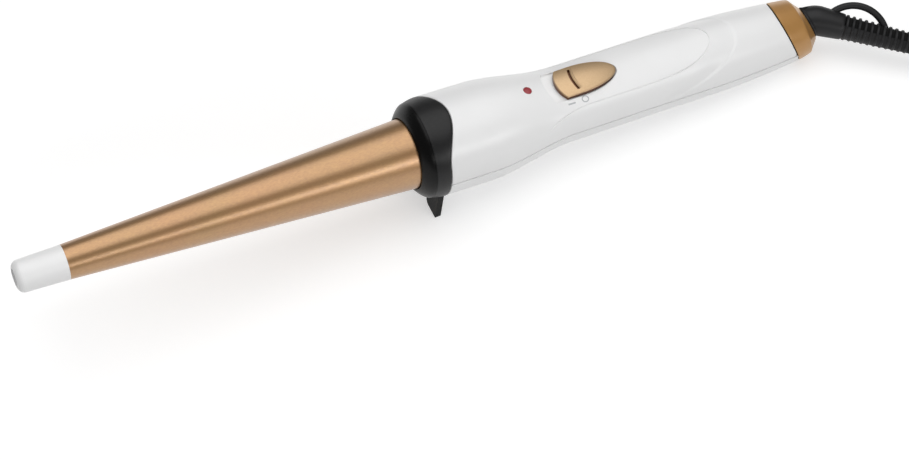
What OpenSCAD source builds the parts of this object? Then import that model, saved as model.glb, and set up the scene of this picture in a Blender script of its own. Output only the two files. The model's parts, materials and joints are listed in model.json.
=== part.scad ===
// Conical curling wand with a cool tip, a two-footed rest, a sliding switch and a swivel cord.
// Every piece is drawn along the barrel: x runs from the tip joint to the rear end, z is up through
// the switch and y is across.  laid_down() then tips the wand onto its feet and its grip.

/* [Barrel] */
// Length of the heated cone that shows between the tip cap and the collar
barrel_len = 122.5; // [100:0.5:150]
// Diameter of the cone at the tip cap
barrel_d_tip = 12.1; // [10:0.1:14]
// Diameter of the cone at the collar
barrel_d_root = 25; // [22:0.1:25]
// Wall of the aluminium cone
barrel_wall = 1; // [0.8:0.1:1.4]
// Length of the white tip cap
tip_len = 17.2; // [14:0.2:24]

/* [Handle] */
// Diameter of the handle's head, just behind the black band
head_d = 35.8; // [35.2:0.2:36.4]
// Diameter of the grip
grip_d = 27.5; // [26:0.1:29]
// Distance from the tip joint to the rim of the end cap
handle_end = 281.6; // [278:0.2:290]
// How far the grip's middle lies above the barrel's middle at the rear
grip_rise = 1.4; // [0:0.1:2]
// Wall of the handle shells
shell_wall = 2.2; // [1.8:0.1:2.4]
// Slant of the rear joint and of the end cap's face, in degrees
end_slant = 26; // [20:1:30]

/* [Switch] */
// Length of the switch cap
cap_len = 23.4; // [20:0.2:26]
// Width of the switch cap
cap_w = 12; // [10:0.2:13]
// Travel from O to I
cap_travel = 4; // [3:0.5:4]
// Distance from the tip joint to the front of the switch cap at O
cap_front = 179.2; // [176:0.2:180]

/* [Rest] */
// Width over the two feet
feet_w = 28; // [24:0.5:30]
// Depth of the feet below the barrel's middle
feet_drop = 23.8; // [22:0.2:28]
// Thickness of the foot plate
feet_t = 2.2; // [1.8:0.1:2.4]

/* [Cord] */
// Diameter of the round cord
cord_d = 5.4; // [5:0.1:5.6]
// Turn of the cord about the swivel, in degrees from straight down
cord_turn = 60; // [40:5:75]
// Bend of the moulded elbow, in degrees
elbow_bend = 45; // [30:1:50]
// Length of the ribbed relief
relief_len = 46; // [40:1:50]
// Distance between two ribs of the relief
rib_pitch = 2.3; // [2:0.1:2.6]

/* [Smoothness] */
// Stations along the upper handle shell
shell_steps = 50; // [24:2:60]
// Faces around each half of the handle
shell_sides = 24; // [12:2:28]

/* [Hidden] */

$fn = 64;
eps = 0.01;

// Colours
white = "#e6e7e8";
black = "#262626";
gloss_black = "#151617";
rose_gold = "#b98a60";
cap_gold = "#dcb98a";
aluminium = "#c8cacc";
steel = "#a9abad";
brass = "#c9a24e";
ceramic = "#d8d3c4";

// Barrel and tip
tip_r = barrel_d_tip / 2;
root_r = barrel_d_root / 2;
cone_slope = (root_r - tip_r) / barrel_len;
barrel_back = barrel_len + 9;
tip_nose_r = 2.4;
tip_chamfer = 0.45;
tip_recess_r = 3.4;
tip_recess_depth = 9;
tip_plug_len = 8;

shoe_from = tip_plug_len + 2;
shoe_to = 100;

// Collar
collar_r = head_d / 2;
bezel_x = barrel_len - 0.2;
crease_x = bezel_x + 4.2;
crease_r = collar_r - 0.8;
band_x = crease_x + 5.8;
tongue_len = 5;
tongue_half = 64;
spigot_r = collar_r - 1.9;
spigot_in = spigot_r - 1.6;
spigot_x = crease_x + 1.7;
flange_t = 1;
bush_t = 3.5;
sleeve_hole_r = 12.4;

// Handle outline
grip_r = grip_d / 2;
neck_start = 149;
neck_end = 183;
rise_start = 150;
rise_end = 240;
// Where the grip starts to draw in, and the two rates at which the grip and then the cap do so
taper_start = 242;
taper_rate = 0.0112;
cap_taper_start = 276;
cap_taper_rate = 0.0156;

// Flattened panel on top, around the switch
panel_start = 162;
panel_flat = 196;
panel_mid = 203;
panel_end = 239.6;
panel_drop = 2.05;
panel_half = 9.7;

// Switch pocket
pocket_floor = 11.2;
floor_t = 1.4;
cap_gap = 0.5;
cap_foot = pocket_floor + 0.3;
cap_top = 14;
cap_nose = cap_front + cap_len - 16;
cap_x_corner = cap_front + 2;
cap_crown_r = 90;
lens_h = 3.8;

// Circuit board
board_x = 160;
board_len = 56;
board_w = 18;
board_t = 1.6;
board_z = -3;
board_top = board_z + board_t;
led_x = 167.8;
switch_x = cap_front + 7;

// Swivel
cap_depth = 7.45;
shoulder_h = 3.2;
bulkhead = 1.5;
swivel_bore_r = 5.5;
journal_r = swivel_bore_r - 0.08;
core_flange_r = 6.6;
ring_x = [-5.2, -8];
ring_r = 3.9;
carrier_z = 6.6;
elbow_x = 5.6;
elbow_r = 5.8;
boot_r = 6.25;
neck_r = 5.1;
relief_from = 12;
rib_r = 4.75;
rib_end_r = 3.4;
rib_t = 1;
rib_count = floor(relief_len / rib_pitch);
relief_end = relief_from + relief_len;

// Cord: coiled in two layers, each a flat spiral of four turns
coil_at = [254, -20.3, 0.6];
coil_mean_r = 32.4;
coil_turns = 4;
coil_layers = 2;
tie_t = 0.5;
tie_w = 6;
tie_turn = 20;
// Route from inside the relief to the coil, and from the coil to the plug, with the wand at rest
lead_route = [[190.9, -30.6, 8.9], [197.2, -35.5, 8.2], [204.5, -41.1, 7.4], [212.5, -47, 6.1],
    [221.5, -53, 4.6], [230.5, -58, 3.6], [239.5, -61.6, 3.3], [247.5, -63.2, 3.3], [254, -63.5, 3.3]];
tail_route = [[210.8, -20.3, 9], [212.8, -30.2, 11.9], [218.4, -38.7, 14.2], [226.9, -44.3, 16.5],
    [234, -46.1, 17.9], [238.8, -46.3, 18.3]];

// Plug: a flat two-pin one, lying on the coil
plug_at = [238.8, -46.3, 11.45];
plug_t = 13.7;
plug_w = 35;
plug_len = 35;
pin_r = 2;
pin_len = 19;
pin_gap = 18.6;

// Smooth step, the height of the grip's middle, and the radius of the handle's sides at station x.
function smooth(t) = let (c = min(max(t, 0), 1)) c * c * (3 - 2 * c);
function rise(x) = grip_rise * smooth((x - rise_start) / (rise_end - rise_start));
function side_r(x) = collar_r - (collar_r - grip_r) * smooth((x - neck_start) / (neck_end - neck_start))
    - taper_rate * pow(max(x - taper_start, 0), 1.5);

// Resting attitude: the wand turns about the feet until its grip's underside meets the table.
foot_x = band_x - feet_t;
rest_tilt = min([for (x = [250:0.5:280]) atan((feet_drop + rise(x) - side_r(x)) / (x - foot_x))]);
shift_z = feet_drop * cos(rest_tilt) + foot_x * sin(rest_tilt);

// The wand's two ends at rest, without its cord; the origin lies halfway between them.
tip_edge = -tip_len * cos(rest_tilt) - (tip_r - tip_nose_r - tip_chamfer) * sin(rest_tilt);
rear_edge_x = handle_end * cos(rest_tilt) + grip_rise * sin(rest_tilt)
    + (shoulder_h + 0.3) * cos(end_slant - rest_tilt) + journal_r * sin(end_slant - rest_tilt);
shift_x = -(tip_edge + rear_edge_x) / 2;

// Moves a piece from the barrel's own axes to the axes of the wand at rest.
module laid_down() {
    translate([shift_x, 0, shift_z]) rotate([0, rest_tilt, 0]) children();
}

// Turns a shape that was drawn along z so that it runs along x.
module along_x() {
    rotate([0, 90, 0]) children();
}

// A turned ring along x: from x0, of length len, with radii r0 and r1 outside and hole inside.
module ring(x0, len, r0, r1, hole = 0) {
    translate([x0, 0, 0]) along_x() difference() {
        cylinder(h = len, r1 = r0, r2 = r1);
        if (hole > 0) translate([0, 0, -1]) cylinder(h = len + 2, r = hole);
    }
}

// ---------------------------------------------------------------- handle surface

// Height of the plain round section's top, how far the panel lies below it, and the panel's
// half width, each as a function of the station x.
function panel_depth(x) = x < panel_mid
    ? panel_drop * smooth((x - panel_start) / (panel_flat - panel_start))
    : panel_drop * (1 - pow(min((x - panel_mid) / (panel_end - panel_mid), 1), 1.6));
function panel_width(x) = x < panel_mid
    ? min(panel_half + 0.0125 * pow(max(188 - x, 0), 2), 0.95 * side_r(x))
    : panel_half * sqrt(max(1 - pow((x - panel_mid) / (panel_end - panel_mid), 4), 0));

// Radius of the handle at station x, in the direction a (0 is straight across, 90 is up).
// Over the panel it is the distance to an arc through the panel's two edges and its middle.
function skin_r(x, a) =
    let (r = side_r(x), w = panel_width(x), d = panel_depth(x))
    d < 0.02 || w < 0.5 || sin(a) <= 0 || abs(r * cos(a)) >= w ? r :
    let (h = r - sqrt(r * r - w * w) - d,
         big = (w * w + h * h) / (2 * max(h, 0.05)),
         drop = big - (r - d),
         s = sin(a))
    min(r, -drop * s + sqrt(max(drop * drop * s * s + big * big - drop * drop, 0)));

// Front edge of the white shells: a tongue of the band reaches back over the top.
function front_edge(a) = let (w = abs(a - 90))
    band_x + (w < tongue_half ? tongue_len * (1 + cos(180 * w / tongue_half)) / 2 : 0);

// Rear edge: a plane that leans forward towards the top.
function slant_x(z) = handle_end - cap_depth + (grip_rise - z) * tan(end_slant);
function rear_edge(a, depth = 0) = let (first = slant_x(grip_rise + (12 - depth) * sin(a)))
    slant_x(rise(first) + (skin_r(first, a) - depth) * sin(a)) - 0.2;

// One point of the skin, k of the way from the front edge to the rear edge.
function skin_x(k, a) = front_edge(a) + k * (rear_edge(a) - front_edge(a));
function skin_point(k, a) =
    let (x = skin_x(k, a), r = skin_r(x, a))
    [x, r * cos(a), rise(x) + r * sin(a)];

// Direction of column j of the upper skin: the panel's two edges fall on columns, so they stay crisp.
edge_column = round(shell_sides * 7 / 24);
function edge_dir(x) =
    let (even = 180 * edge_column / shell_sides,
         crease = min(acos(min(panel_width(x) / side_r(x), 0.95)), 66),
         follow = smooth((x - panel_start) / 12) * (1 - smooth((x - panel_end) / 14)))
    even + follow * (crease - even);
function column_dir(j, x) =
    let (edge = edge_dir(x), far = shell_sides - edge_column)
    j <= edge_column ? edge * j / edge_column
    : j >= far ? 180 - edge * (shell_sides - j) / edge_column
    : edge + (180 - 2 * edge) * (j - edge_column) / (far - edge_column);
function upper_dir(j, k) =
    let (guess = column_dir(j, skin_x(k, 180 * j / shell_sides)))
    column_dir(j, skin_x(k, column_dir(j, skin_x(k, guess))));

// The same inside the wall, which is thick enough under the switch to hold the pocket's floor.
function inner_point(k, a) =
    let (x = front_edge(a) + k * (rear_edge(a, shell_wall) - front_edge(a)),
         plain = skin_r(x, a) - shell_wall,
         floor_r = (pocket_floor - floor_t - rise(x)) / max(sin(a), 0.1),
         under = x > cap_front - cap_travel - 2.4 && x < cap_front + cap_len + 2
            && abs(plain * cos(a)) < cap_w / 2 + 2,
         r = under ? min(plain, floor_r) : plain)
    [x, r * cos(a), rise(x) + r * sin(a)];

// Closed sheet between an outer and an inner grid of points: m rows of n points each.
module sheet_solid(outer, inner) {
    m = len(outer);
    n = len(outer[0]);
    points = [for (row = outer) each row, for (row = inner) each row];
    function o(i, j) = i * n + j;
    function u(i, j) = (m + i) * n + j;
    faces = [
        for (i = [0:m - 2], j = [0:n - 2]) each
            [[o(i, j), o(i + 1, j), o(i, j + 1)], [o(i, j + 1), o(i + 1, j), o(i + 1, j + 1)],
             [u(i, j), u(i, j + 1), u(i + 1, j)], [u(i, j + 1), u(i + 1, j + 1), u(i + 1, j)]],
        for (i = [0:m - 2]) each
            [[o(i, 0), u(i, 0), o(i + 1, 0)], [o(i + 1, 0), u(i, 0), u(i + 1, 0)],
             [o(i, n - 1), o(i + 1, n - 1), u(i, n - 1)],
             [o(i + 1, n - 1), u(i + 1, n - 1), u(i, n - 1)]],
        for (j = [0:n - 2]) each
            [[o(0, j), o(0, j + 1), u(0, j)], [o(0, j + 1), u(0, j + 1), u(0, j)],
             [o(m - 1, j), u(m - 1, j), o(m - 1, j + 1)],
             [o(m - 1, j + 1), u(m - 1, j), u(m - 1, j + 1)]]
    ];
    polyhedron(points = points, faces = faces);
}

// Walled shell from rows of directions, one row for each station.
module skin_solid(dirs) {
    last = len(dirs) - 1;
    sheet_solid([for (i = [0:last]) [for (a = dirs[i]) skin_point(i / last, a)]],
        [for (i = [0:last]) [for (a = dirs[i]) inner_point(i / last, a)]]);
}

// ---------------------------------------------------------------- barrel

// White heat-proof cap: a turned cup with a screw recess and a plug that enters the cone.
module tip_cap() {
    nose = tip_nose_r;
    screw_hole = 1.7;
    plug_r = tip_r - barrel_wall;
    laid_down() color(white) along_x() rotate_extrude() polygon([
        [screw_hole, -tip_len + tip_recess_depth], [tip_recess_r, -tip_len + tip_recess_depth],
        [tip_recess_r, -tip_len],
        for (t = [0:15:90]) [tip_r - tip_chamfer - nose + nose * sin(t), -tip_len + nose - nose * cos(t)],
        [tip_r - 0.02, 0], [plug_r - 0.02, 0],
        [plug_r - 0.02, tip_plug_len - 0.6], [plug_r - 0.6, tip_plug_len],
        [screw_hole, tip_plug_len]]);
}

// Pan-head screw that draws the tip cap against the cone.
module tip_screw() {
    head_x = -tip_len + tip_recess_depth;
    laid_down() color(steel) difference() {
        translate([head_x, 0, 0]) along_x() rotate_extrude() polygon([
            [0, -1.8], [1.6, -1.8], [2.5, -1.1], [2.7, 0], [1.45, 0], [1.45, 26], [0, 27.4]]);
        for (turn = [0, 90]) translate([head_x - 1.8, 0, 0]) rotate([turn, 0, 0])
            cube([1.6, 3, 0.7], center = true);
    }
}

// Drawn aluminium cone, with a flange rolled outwards behind the collar.
module barrel() {
    back_r = cone_r(barrel_back);
    laid_down() color(rose_gold) along_x() rotate_extrude($fn = 96) polygon([
        [tip_r - barrel_wall, 0], [tip_r, 0], [back_r, barrel_back], [spigot_in - 0.1, barrel_back],
        [spigot_in - 0.1, barrel_back + flange_t], [back_r - barrel_wall, barrel_back + flange_t],
        [back_r - barrel_wall, barrel_back]]);
}

// Outside radius of the cone at distance x from the tip joint.
function cone_r(x) = tip_r + cone_slope * x;

// Half of the cone's filling: a finned aluminium shoe with a flat face for the heater.
module heater_shoe_half() {
    gap = 1.4;
    wall = 1.4;
    function bore_r(x) = cone_r(x) - barrel_wall - 0.02;
    module filling(inset) {
        translate([shoe_from, 0, 0]) along_x()
            cylinder(h = shoe_to - shoe_from, r1 = bore_r(shoe_from) - inset, r2 = bore_r(shoe_to) - inset);
    }
    difference() {
        filling(0);
        translate([shoe_from - 2, -20, -40 + gap]) cube([shoe_to, 40, 40]);
        for (y = [-16.2, -2, 3.2]) intersection() {
            filling(wall);
            translate([shoe_from + 14, y, gap + wall]) cube([shoe_to, y == -2 ? 4 : 13, 20]);
        }
    }
}

// Lower shoe, with the nose boss that the tip screw bites into.
module lower_heater_shoe() {
    laid_down() color(aluminium) {
        difference() {
            union() {
                mirror([0, 0, 1]) heater_shoe_half();
                translate([shoe_from, 0, 0]) along_x() cylinder(h = 10, r = 3);
            }
            along_x() cylinder(h = 30, r = 1.5);
        }
    }
}

// Upper shoe, cut back over the nose boss.
module upper_heater_shoe() {
    laid_down() color(aluminium) difference() {
        heater_shoe_half();
        translate([shoe_from - 1, 0, 0]) along_x() cylinder(h = 11.2, r = 3.05);
    }
}

// Three self-regulating heater plates in a row.
module ptc_elements() {
    laid_down() color("#5a5a58")
        for (i = [0:2]) translate([26 + 22 * i, -3.5, -1.2]) cube([20, 7, 2.4]);
}

// Polyimide sleeve that keeps the heater plates off the shoes.
module insulation_film() {
    laid_down() color("#b5772a") difference() {
        translate([24, -3.7, -1.4]) cube([70, 7.4, 2.8]);
        translate([23, -3.5, -1.2]) cube([72, 7, 2.4]);
    }
}

// Thermal cut-out lying between the fins of the upper shoe.
module thermal_fuse() {
    laid_down() color(steel) translate([shoe_to - 14, 0, 2.8 + 1.8]) along_x() {
        cylinder(h = 10, r = 1.8);
        translate([0, 0, 10]) cylinder(h = 12, r = 0.5);
    }
}

// Heat-proof bush that closes the cone and carries the leads.
module barrel_bush() {
    front_r = cone_r(barrel_back - 5) - barrel_wall - 0.03;
    laid_down() color(ceramic) difference() {
        union() {
            ring(barrel_back - 5, 6, front_r, front_r);
            ring(barrel_back + flange_t, bush_t, spigot_in - 0.05, spigot_in - 0.05);
        }
        for (y = [-4, 4]) translate([barrel_back - 6, y, 0]) along_x() cylinder(h = 12, r = 1.35);
    }
}

// The two sleeved leads from the heater through the bush to the circuit board.
module heater_leads() {
    laid_down() color("#cfcabb") for (s = [-1, 1])
        tube(route([[90, s * 2.4, 0], [106, s * 2.4, 0], [122, s * 4, 0], [142, s * 4, 0],
            [152, s * 6, board_z + 0.8], [board_x, s * 6, board_z + 0.8]], 3), 0.7);
}

// ---------------------------------------------------------------- collar

// Glossy front ring: a quarter-round shoulder around the cone, with a skirt behind it.
module bezel_ring() {
    hole = root_r + 0.3;
    shoulder = crease_x - bezel_x;
    laid_down() color(gloss_black) along_x() rotate_extrude($fn = 96) polygon([
        [hole, bezel_x + 0.5], [hole + 0.5, bezel_x],
        for (t = [0:10:90]) [crease_r - shoulder + 0.6 + (shoulder - 0.6) * sin(t),
            crease_x - shoulder * cos(t)],
        [spigot_r, crease_x], [spigot_r, spigot_x - 0.1], [spigot_in - 0.05, spigot_x - 0.1],
        [spigot_in - 0.05, barrel_back - 0.1], [hole + 0.65, barrel_back - 0.1], [hole + 0.65, bezel_x + 3]]);
}

// Matt band behind the bezel, with the tongue that reaches back over the top.
module collar_band() {
    sides = 60;
    steps = 4;
    function band_r(k) = crease_r + (collar_r - crease_r) * sin(90 * k);
    function at(k, a, r) = let (x = crease_x + k * (front_edge(a) - 0.15 - crease_x))
        [x, r * cos(a), r * sin(a)];
    outer = [for (i = [0:steps]) [for (j = [0:sides])
        let (a = -270 + 360 * j / sides) at(i / steps, a < -90 ? a + 360 : a, band_r(i / steps))]];
    inner = [for (i = [0:steps]) [for (j = [0:sides])
        let (a = -270 + 360 * j / sides) at(i / steps, a < -90 ? a + 360 : a, spigot_r + 0.03)]];
    laid_down() color(black) difference() {
        closed_band(outer, inner, sides);
        translate([foot_x - 0.05, -feet_w / 2 - 0.05, -30]) cube([10, feet_w + 0.1, 24]);
    }
}

// Closed hoop from rows whose last point repeats the first.
module closed_band(outer, inner, n) {
    m = len(outer);
    points = [for (row = outer) for (j = [0:n - 1]) row[j], for (row = inner) for (j = [0:n - 1]) row[j]];
    function o(i, j) = i * n + j % n;
    function u(i, j) = (m + i) * n + j % n;
    faces = [
        for (i = [0:m - 2], j = [0:n - 1]) each
            [[o(i, j), o(i + 1, j), o(i, j + 1)], [o(i, j + 1), o(i + 1, j), o(i + 1, j + 1)],
             [u(i, j), u(i, j + 1), u(i + 1, j)], [u(i, j + 1), u(i + 1, j + 1), u(i + 1, j)]],
        for (j = [0:n - 1]) each
            [[o(0, j), o(0, j + 1), u(0, j)], [o(0, j + 1), u(0, j + 1), u(0, j)],
             [o(m - 1, j), u(m - 1, j), o(m - 1, j + 1)],
             [o(m - 1, j + 1), u(m - 1, j), u(m - 1, j + 1)]]
    ];
    polyhedron(points = points, faces = faces);
}

// Rest: a flat plate under the band, saddled on the shells, with an arch between its two feet.
module stand_foot() {
    foot = 5.5;
    arch_w = feet_w - 2 * foot;
    arch_h = 4.6;
    color(black) difference() {
        laid_down() translate([foot_x, 0, 0]) rotate([90, 0, 90]) linear_extrude(height = feet_t)
            difference() {
                translate([-feet_w / 2, -feet_drop]) square([feet_w, feet_drop - 7]);
                circle(r = spigot_r + 0.02, $fn = 96);
                arch(arch_w, arch_h, 2.2);
            }
        below_table();
    }
}

// The table's own room, which the soles are cut to.
module below_table() {
    translate([-60, -50, -10]) cube([120, 100, 10]);
}

// Opening between the feet: an upright-sided arch with rounded corners above and flared ones below.
module arch(w, h, r) {
    half = w / 2;
    translate([0, -feet_drop - eps]) polygon([
        for (t = [0:15:90]) [half - r * sin(t), r * (1 - cos(t))],
        for (t = [0:15:90]) [half - 2 * r + r * cos(t), h - r + r * sin(t)],
        for (t = [90:-15:0]) [-half + 2 * r - r * cos(t), h - r + r * sin(t)],
        for (t = [90:-15:0]) [-half + r * sin(t), r * (1 - cos(t))]]);
}

// Sleeve inside the shells' front end: it carries the band and the rest, and a lip holds the bush.
module collar_sleeve() {
    lip_x = barrel_back + flange_t + bush_t + 0.05;
    inside_shells = collar_r - shell_wall - 0.12;
    laid_down() color("#3a3b3d") along_x() rotate_extrude($fn = 96) polygon([
        [spigot_in, spigot_x], [spigot_r - 0.02, spigot_x], [spigot_r - 0.02, band_x - 0.1],
        [inside_shells, band_x - 0.1], [inside_shells, spigot_x + 16],
        [sleeve_hole_r, spigot_x + 16], [sleeve_hole_r, lip_x], [spigot_in, lip_x]]);
}

// ---------------------------------------------------------------- handle shells

// Bullet outline of the switch cap, grown by g and stretched forward by ahead.
module cap_outline(g, ahead = 0) {
    front = cap_front - ahead;
    corner = cap_x_corner - ahead;
    half = cap_w / 2;
    bow_r = (half * half + pow(corner - front, 2)) / (2 * (corner - front));
    bow = asin(half / bow_r);
    polygon([
        for (t = [-bow:bow / 5:bow + eps]) [front - g + bow_r * (1 - cos(t)), (half + g) * sin(t) / sin(bow)],
        for (t = [90:-6:-90]) [cap_nose + (cap_front + cap_len - cap_nose + g) * cos(t),
            (half + g) * sin(t)]]);
}

// Holes that the upper shell needs: the pocket of the switch, its slot, and the lamp.
module upper_shell_holes() {
    translate([0, 0, pocket_floor]) linear_extrude(height = 8) cap_outline(cap_gap, cap_travel + 0.2);
    translate([switch_x - cap_travel - 0.5, -1.7, 0]) cube([7 + cap_travel + 1, 3.4, 20]);
    translate([led_x, 0, 0]) cylinder(h = 30, r = 1.55);
}

module upper_shell() {
    laid_down() color(white) difference() {
        skin_solid([for (i = [0:shell_steps]) [for (j = [0:shell_sides]) upper_dir(j, i / shell_steps)]]);
        upper_shell_holes();
    }
}

module lower_shell() {
    steps = shell_steps - 14;
    sides = shell_sides - 4;
    laid_down() color(white)
        skin_solid([for (i = [0:steps]) [for (j = [0:sides]) 180.2 + 179.6 * j / sides]]);
}

// ---------------------------------------------------------------- lamp and board

// Red light pipe that fills the hole in the shell.
module led_lens() {
    top = rise(led_x) + skin_r(led_x, 90);
    laid_down() color("#b03038") {
        translate([led_x, 0, top - lens_h]) cylinder(h = lens_h - 0.2, r = 1.5);
        translate([led_x, 0, top - lens_h]) cylinder(h = 0.8, r = 2.1);
        translate([led_x, 0, top - 0.2]) intersection() {
            translate([0, 0, -3.4]) sphere(r = 3.72);
            cylinder(h = 2, r = 1.5);
        }
    }
}

// Lamp on its two legs, just below the light pipe.
module led() {
    top = rise(led_x) + skin_r(led_x, 90) - lens_h;
    laid_down() color("#d8a0a0") {
        translate([led_x, 0, top - 4.5]) cylinder(h = 4.5, r = 1.5);
        for (s = [-1, 1]) translate([led_x, s * 0.8, board_top])
            cylinder(h = top - 4.5 - board_top, r = 0.25);
    }
}

// Board on two standoffs that reach down to the lower shell.
module circuit_board() {
    laid_down() color("#2f6b45") {
        translate([board_x, -board_w / 2, board_z]) cube([board_len, board_w, board_t]);
        for (x = [board_x + 8, board_x + board_len - 10]) {
            foot_z = rise(x) - side_r(x) + shell_wall + 0.6;
            translate([x, -3, foot_z]) cube([1.6, 6, board_z - foot_z + 0.01]);
        }
    }
}

// Capacitor that drops the mains voltage for the lamp.
module dropper_capacitor() {
    laid_down() color("#b08428") translate([board_x + 42, -5, board_top]) cube([11, 10, 6]);
}

// Resistors and diodes lying on the board.
module board_parts() {
    laid_down() color("#8a7a5a") for (i = [0:2])
        translate([board_x + 10, -6 + 6 * i, board_top + 1.1]) along_x() {
            cylinder(h = 6, r = 1.1);
            translate([0, 0, -1.4]) cylinder(h = 8.8, r = 0.3);
        }
}

// Body of the mains slide switch.
module slide_switch() {
    laid_down() color("#3a3a3c") difference() {
        translate([switch_x - 6, -4, board_top]) cube([18, 8, 7]);
        translate([switch_x - cap_travel - 0.4, -1.9, board_top + 5]) cube([4 + cap_travel + 0.8, 3.8, 3]);
    }
}

// ---------------------------------------------------------------- sliding switch

// Gold cap: crowned across and along, with a thumb groove and a rib behind it.
module switch_cap() {
    groove_x = cap_front + 6.2;
    groove_r = 20;
    crown_r = 13.5;
    laid_down() color(cap_gold) {
        difference() {
            intersection() {
                translate([0, 0, cap_foot]) linear_extrude(height = 5) cap_outline(0);
                translate([cap_front - 5, 0, cap_top - crown_r]) along_x()
                    cylinder(h = cap_len + 10, r = crown_r);
                translate([cap_front + 11, 30, cap_top - cap_crown_r]) rotate([90, 0, 0])
                    cylinder(h = 60, r = cap_crown_r, $fn = 128);
            }
            groove_ring(groove_x, groove_r, 0.5, 2.6, cap_top - 1.3);
        }
        groove_ring(groove_x + 1.1, groove_r, 0.4, 1.2, cap_top - 0.95);
    }
}

// Part of a thin upright ring: half thickness t, height h, from z0, within the thumb's width.
module groove_ring(x, r, t, h, z0) {
    intersection() {
        translate([x + r, 0, z0]) difference() {
            cylinder(h = h, r = r + t, $fn = 96);
            translate([0, 0, -1]) cylinder(h = h + 2, r = r - t, $fn = 96);
        }
        translate([x - 3, -4.4, z0 - 1]) cube([6, 8.8, h + 2]);
    }
}

// Stem and plate under the pocket's floor, which carry the cap to the switch's knob.
module switch_slider() {
    plate_top = pocket_floor - floor_t - 0.3;
    laid_down() color("#d9dadb") {
        translate([switch_x, -1.35, plate_top - 0.1]) cube([7, 2.7, cap_foot - plate_top + 0.1]);
        translate([switch_x - 4, -5, plate_top - 1.3]) cube([15, 10, 1.3]);
        for (x = [switch_x - 1.3, switch_x + 4]) translate([x, -3, 7.1]) cube([1.3, 6, plate_top - 8.3]);
    }
}

// Knob of the slide switch, held between the slider's two tabs.
module switch_knob() {
    laid_down() color("#1d1d1f") translate([switch_x, -1.5, board_top + 5.4]) cube([4, 3, 4.1]);
}

// ---------------------------------------------------------------- rear end

// Moves to the swivel: x along its axis, with 0 at the rim of the end cap.
module at_swivel() {
    translate([handle_end, 0, grip_rise]) rotate([0, -end_slant, 0]) children();
}

// Everything behind a plane square to the swivel's axis, at distance x from the rim.
module behind(x) {
    at_swivel() translate([x, -60, -60]) cube([120, 120, 120]);
}

// Radius of the end cap, which draws in a little faster than the grip.
function cap_r(x) = side_r(x) - cap_taper_rate * pow(max(x - cap_taper_start, 0), 2);

// Turned body about the grip's middle whose radius follows the handle, less by inset.
module tapered(x0, x1, inset) {
    translate([0, 0, grip_rise]) along_x() rotate_extrude() polygon([
        [0, x0], for (x = [x0:1.5:x1]) [cap_r(x) - inset, x], [cap_r(x1) - inset, x1], [0, x1]]);
}

// Bronze end cap: cut on the slant, with a blunt cone behind the rim and a spigot for the shells.
module end_cap() {
    front = -cap_depth * cos(end_slant);
    spigot_inset = shell_wall + 0.15;
    laid_down() color(rose_gold) difference() {
        union() {
            intersection() {
                tapered(262, 292, 0);
                behind(front);
                at_swivel() ring(-20, 20 + shoulder_h, 11.65 + 20 * 1.5, 6.7);
            }
            intersection() {
                tapered(260, 282, spigot_inset);
                behind(front - 4.5);
                at_swivel() ring(-30, 30, 40, 40);
            }
        }
        difference() {
            tapered(255, 290, spigot_inset + 1.4);
            behind(-bulkhead);
        }
        at_swivel() ring(-9, 9 - bulkhead, core_flange_r + 0.35, core_flange_r + 0.35);
        at_swivel() ring(-20, 40, swivel_bore_r, swivel_bore_r);
    }
}

// Turning core inside the end cap: journal, retaining flange and the stub for the rings.
module swivel_core() {
    laid_down() at_swivel() color("#2c2c2e") {
        ring(-bulkhead - 0.4, bulkhead + shoulder_h + 0.7, journal_r, journal_r);
        ring(-bulkhead - 1.5, 1.2, core_flange_r, core_flange_r);
        ring(-9, 7.5, 3.2, 3.2);
    }
}

// Two brass rings that carry the current round the swivel.
module slip_rings() {
    laid_down() at_swivel() color(brass) for (x = ring_x) ring(x, 1.6, ring_r, ring_r, 3.2);
}

// Plastic bridge on the end cap that holds the contact springs over the rings.
module contact_carrier() {
    laid_down() at_swivel() color("#3a3a3c")
        translate([-10, -3.6, carrier_z]) cube([10 - bulkhead, 7.2, 1.3]);
}

// One leaf of brass over each slip ring.
module contact_springs() {
    laid_down() at_swivel() color(brass) for (x = ring_x) {
        translate([x, -1.6, ring_r + 0.08]) cube([1.6, 3.2, 0.35]);
        translate([x, -1.6, ring_r + 0.08]) cube([1.6, 0.35, carrier_z - ring_r - 0.08]);
    }
}

// Brown and blue leads between the contact carrier and the board.
module supply_leads() {
    end_x = board_x + board_len;
    laid_down() for (s = [-1, 1]) color(s < 0 ? "#6a4a34" : "#3a5f9a")
        tube(route([[268, s * 3, 3.4], [262, s * 3.6, 1.6], [246, s * 5, 0], [228, s * 6, board_z + 0.8],
            [end_x, s * 6, board_z + 0.8]], 3), 0.8);
}

// ---------------------------------------------------------------- cord

// Moves to the moulded elbow: x along the relief, z away from the inside of the bend.
module at_relief() {
    at_swivel() rotate([-cord_turn, 0, 0]) translate([elbow_x, 0, 0]) rotate([0, elbow_bend, 0]) children();
}

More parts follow.
